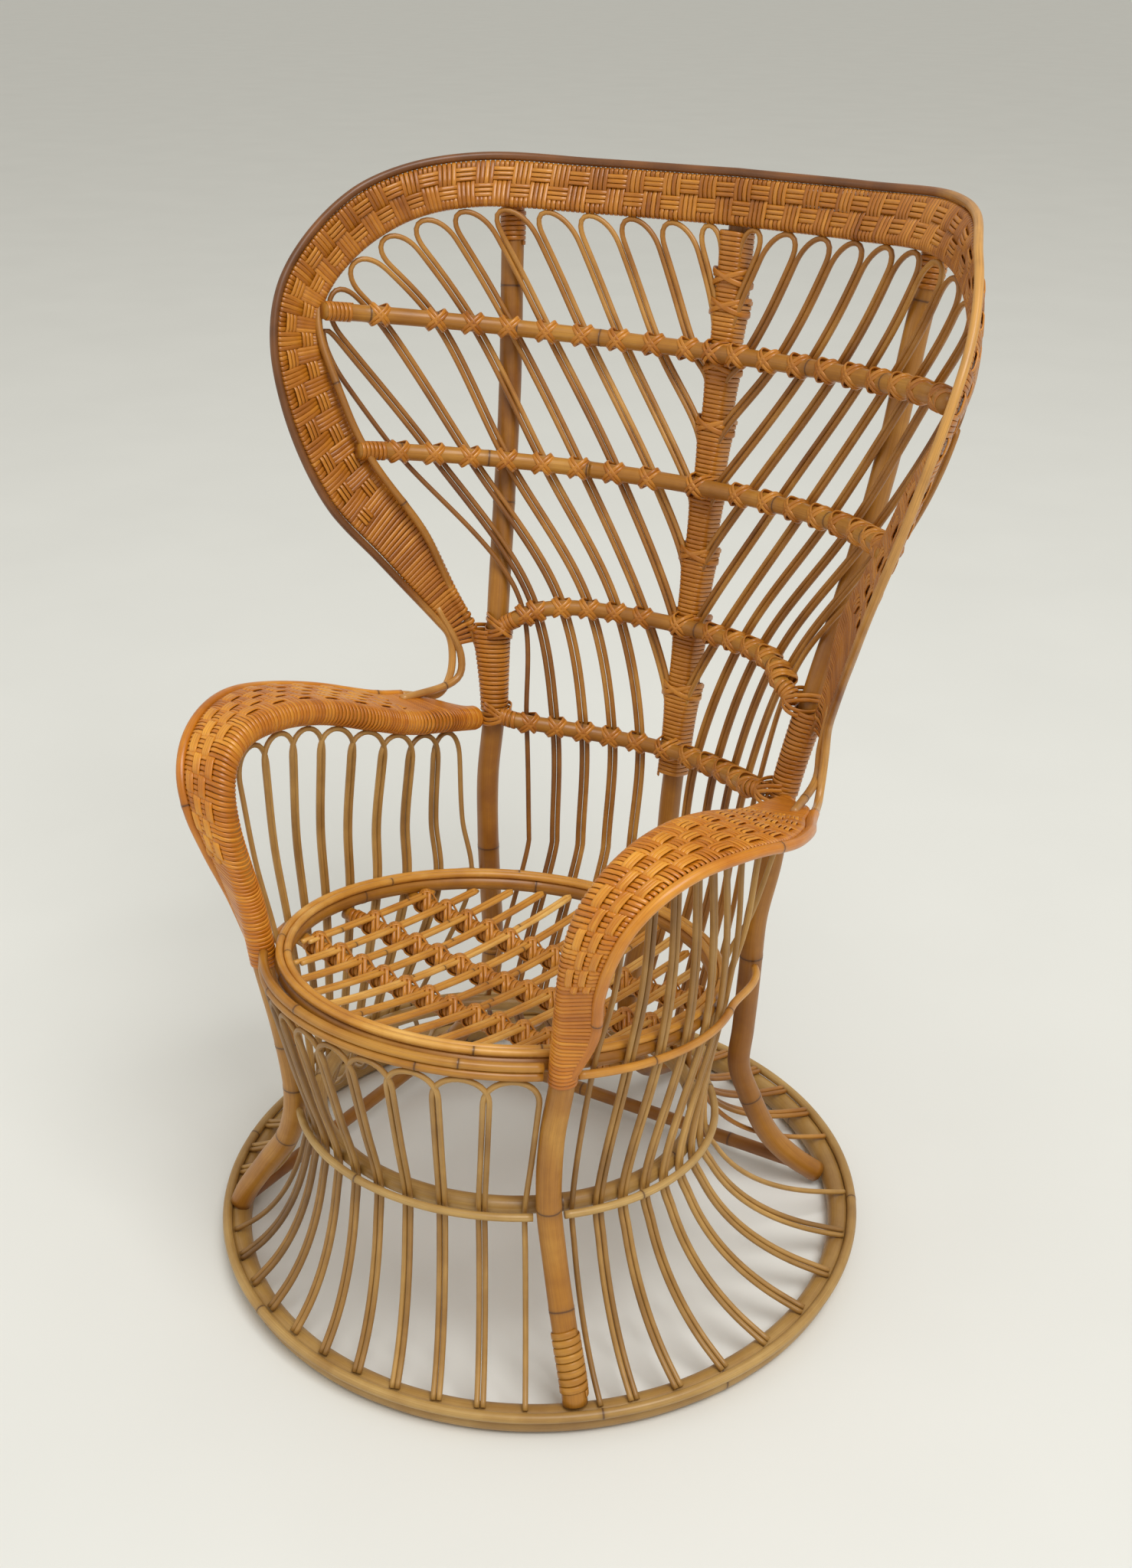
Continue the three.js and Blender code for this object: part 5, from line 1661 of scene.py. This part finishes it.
# %% [markdown]
# On the centre pole the topmost binding is plain, just under the band. Below it each pair of canes has a
# plug of turns, which starts a little above the place where they meet, and two rings crossed over it. The
# pole could be wound in one go, but then the steps between the plugs would be lost.

# %% Centre pole bindings
centre_top = 1172
centre_turns = 12
centre_halves = (16, 15)
plug_halves = (22, 14.6)
plug_power = 0.6
plug_fall = 4
centre_ring_half = 23.5
centre_ring_width = 6.4
centre_room = (2.0, 1.2)
ring_room = (4.0, 0.8)
centre_faces = (-cane_radius - centre_room[0], centre_out + centre_radius + centre_room[1])
ring_faces = (centre_faces[0] - ring_room[0], centre_faces[1] + ring_room[1])
binding_rise = 22
plug_turns = 5
centre_ring_slope = 0.35
centre_ring_drop = 6
centre_binding = Bundle()
oval_binding(centre_binding, centre_top, centre_turns, on_middle, centre_halves, centre_faces,
             power=plug_power)
for n in range(short_count):
    binding_top = meet_height(n) + binding_rise
    binding_turns = (meet_height(n) - meet_height(n + 1)) / oval_pitch + plug_turns
    oval_binding(centre_binding, binding_top, binding_turns, on_middle, plug_halves, centre_faces,
                 power=plug_power, fall=plug_fall)
    for slope in (centre_ring_slope, -centre_ring_slope):
        slanted_ring(centre_binding, 0.0, binding_top - centre_ring_drop, slope, centre_ring_half, ring_faces,
                     centre_ring_width)
make_piece(centre_binding, "centre_pole_binding", peel_finish, "peel")

# %% [markdown]
# Where canes cross a rail, or slats cross a bar, peel is tied round both on the two diagonals, which leaves
# an X in front. Each tie is a closed loop pulled tight round the two stems, in the plane of a diagonal and
# the way through them. There both stems have oval sections, so the loop round two circles is stretched.

# %% Lashings
tie_share = (np.arange(36) / 36)[None]
tie_thickness = 2.0


def lashings(bundle, place, level, upright, through, span, loops, steps, tones, width=4.6):
    """On both diagonals, loops at place + x * through + sqrt(2) * y * along, x and y round two circles."""
    x, y = two_circles(span[:, None], *loops, tie_share)[:2]
    for slant, step in itertools.product((1, -1), steps):
        along = np.broadcast_to(unit(level + slant * upright), place.shape)
        wide = np.cross(along, through)
        spot = place + step * wide
        path = spot[:, None] + x[..., None] * through[:, None] + math.sqrt(2) * y[..., None] * along[:, None]
        rings = sweep(path, strip_section(width, tie_thickness), wide[:, None], closed=True)
        bundle.add(rings, chance.uniform(*tones, len(spot)), closed=True)


print("a tie has", tie_share.size, "rings")

# %% [markdown]
# On the back every crossing of a stem and a rail is tied twice on each diagonal, and so is each rail to the
# centre pole. The low rails end on the uprights in crossed rings. The crossings are found on the flat
# drawing, where the stem's height meets the rail's.

# %% Back lashings
tie_loop = 1.1
stem_loop = 6.0
centre_loop = centre_radius + 0.6
stem_steps = (-2.1, 2.1)
pole_steps = (-2.5, 2.5)
end_slopes = (0.6, -0.6)
end_steps = (-2.8, 2.8)
end_inset = 1
end_half = 16.0
end_width = 4.8
end_room = 1.0
crossing_error = 4
crossing_span = (20, 14)


def rail_lashings(bundle, k, s, behind, second, steps):
    """Ties that hold rail k to what lies behind it at distances s from the middle."""
    share = s / rail_reach[k]
    w = rail_height(k, share)
    out = rail_out(k, share)
    level = unit(on_back(s + 1, w, out) - on_back(s - 1, w, out))
    through = unit(on_back(s, w, out + 1) - on_back(s, w, out - 1))
    lashings(bundle, on_back(s, w, out), level, lean_up, through, behind - out,
             (rail_tubes[k] + tie_loop, second), steps, (0.5, 0.9))


def rail_crossings(k):
    """Distances from the middle at which the stems of one half cross rail k."""
    found = []
    for flat in flat_stems[first_crossing[k]:]:
        height = rail_height(k, np.clip(flat[:, 0] / rail_reach[k], -1, 1))
        near = int(np.argmin(np.abs(flat[:, 1] - height)))
        inside = crossing_span[0] < abs(flat[near, 0]) < rail_reach[k] - crossing_span[1]
        if abs(flat[near, 1] - height[near]) < crossing_error and inside:
            found.append(flat[near, 0])
    return np.array(found)


back_ties = Bundle()
for k in range(4):
    spots = rail_crossings(k)
    for side in (1, -1):
        rail_lashings(back_ties, k, side * spots, 0.0, stem_loop, stem_steps)
        if k > 1:
            end_height = float(rail_height(k, 1.0))
            end_front = float(rail_out(k, 1.0)) - rail_tubes[k] - end_room
            end_faces = (end_front, pole_out + upright_radius + end_room)
            for slope, step in itertools.product(end_slopes, end_steps):
                slanted_ring(back_ties, side * (rail_reach[k] - end_inset), end_height + step, slope,
                             end_half, end_faces, end_width)
    rail_lashings(back_ties, k, np.zeros(1), centre_out, centre_loop, pole_steps)
make_piece(back_ties, "back_rail_lashings", peel_finish, "peel")

# %% [markdown]
# Each slat is tied to each bar that it crosses. The ties stand on the bar's axis and reach up to the slat's
# own height there, so they stay tight all over the dish.

# %% Seat lashings
bar_end_gap = 12
seat_loops = (bar_radius + 2.0, 5.2)
seat_steps = (-2.6, 2.6)
seat_tones = (0.65, 0.95)
seat_tie_width = 5.0
slat_u, bar_v = np.meshgrid(slat_places, np.array(bar_places, float))
bar_half = seat_half_width * np.sqrt(1 - (bar_v / seat_half_depth) ** 2)
held = np.abs(slat_u) < bar_half - bar_end_gap
slat_u, bar_v, bar_half = slat_u[held], bar_v[held], bar_half[held]
bar_axis = bar_under - bar_dip * (1 - (slat_u / bar_half) ** 2)
tie_place = leaned(slat_u, seat_centre + bar_v, bar_axis)
tie_up = np.broadcast_to(lean_up, tie_place.shape)
seat_ties = Bundle()
lashings(seat_ties, tie_place, across, lean_back, tie_up, slat_height(slat_u, bar_v) - bar_axis,
         seat_loops, seat_steps, seat_tones, seat_tie_width)
make_piece(seat_ties, "seat_lashings", peel_finish, "peel")

# %% [markdown]
# The chair stands on a plain pale floor. The floor is one big square, so that no edge of it shows, with a
# faint unevenness of colour.

# %% Floor
floor_half = 40.0
floor_material = bpy.data.materials.new("plain_pale_floor")
floor_material.use_nodes = True
floor_tree = floor_material.node_tree
floor_space = add_node(floor_tree, "ShaderNodeTexCoord").outputs["Object"]
floor_noise = add_node(floor_tree, "ShaderNodeTexNoise", inputs={
    "Vector": floor_space, "Scale": 3.0, "Detail": 2.0})
floor_mix = add_node(floor_tree, "ShaderNodeMix", {"data_type": "RGBA"}, {
    0: floor_noise.outputs["Fac"], 6: linear("#e2e3de"), 7: linear("#e8e9e4")})
set_inputs(floor_tree, floor_tree.nodes["Principled BSDF"], {
    "Base Color": floor_mix.outputs[2], "Roughness": 0.7})
floor_mesh = bpy.data.meshes.new("studio_floor")
floor_corners = [(x * floor_half, y * floor_half, 0) for x, y in ((-1, -1), (1, -1), (1, 1), (-1, 1))]
floor_mesh.from_pydata(floor_corners, [], [(0, 1, 2, 3)])
floor_mesh.materials.append(floor_material)
floor = new_object("studio_floor", floor_mesh)
print("floor", 2 * floor_half, "m across")

# %% [markdown]
# The light is soft: one wide lamp high at the photograph's right, a wider and weaker one from the left, and
# a pale sky all round. The levels are set so that a colour on the chair renders about as it is written.

# %% Light
lamp_aim = Vector((0.0, 0.0, 0.6))


def lamp(name, place, size, watts):
    """A square area lamp at a place, facing the middle of the chair."""
    data = bpy.data.lights.new(name, "AREA")
    data.size = size
    data.energy = watts
    made = new_object(name, data)
    made.location = place
    made.rotation_euler = (lamp_aim - Vector(place)).to_track_quat("-Z", "Y").to_euler()


lamp("key_lamp", (3.6, -1.8, 7.0), 4.0, 380)
lamp("fill_lamp", (-4.5, -4.5, 3.5), 5.0, 40)
world = bpy.data.worlds.new("pale_sky")
world.use_nodes = True
set_inputs(world.node_tree, world.node_tree.nodes["Background"], {
    "Color": linear("#e9e6df"), "Strength": 0.72})
bpy.context.scene.world = world
bpy.context.scene.view_settings.view_transform = "Standard"
print("lamps", len(bpy.data.lights))
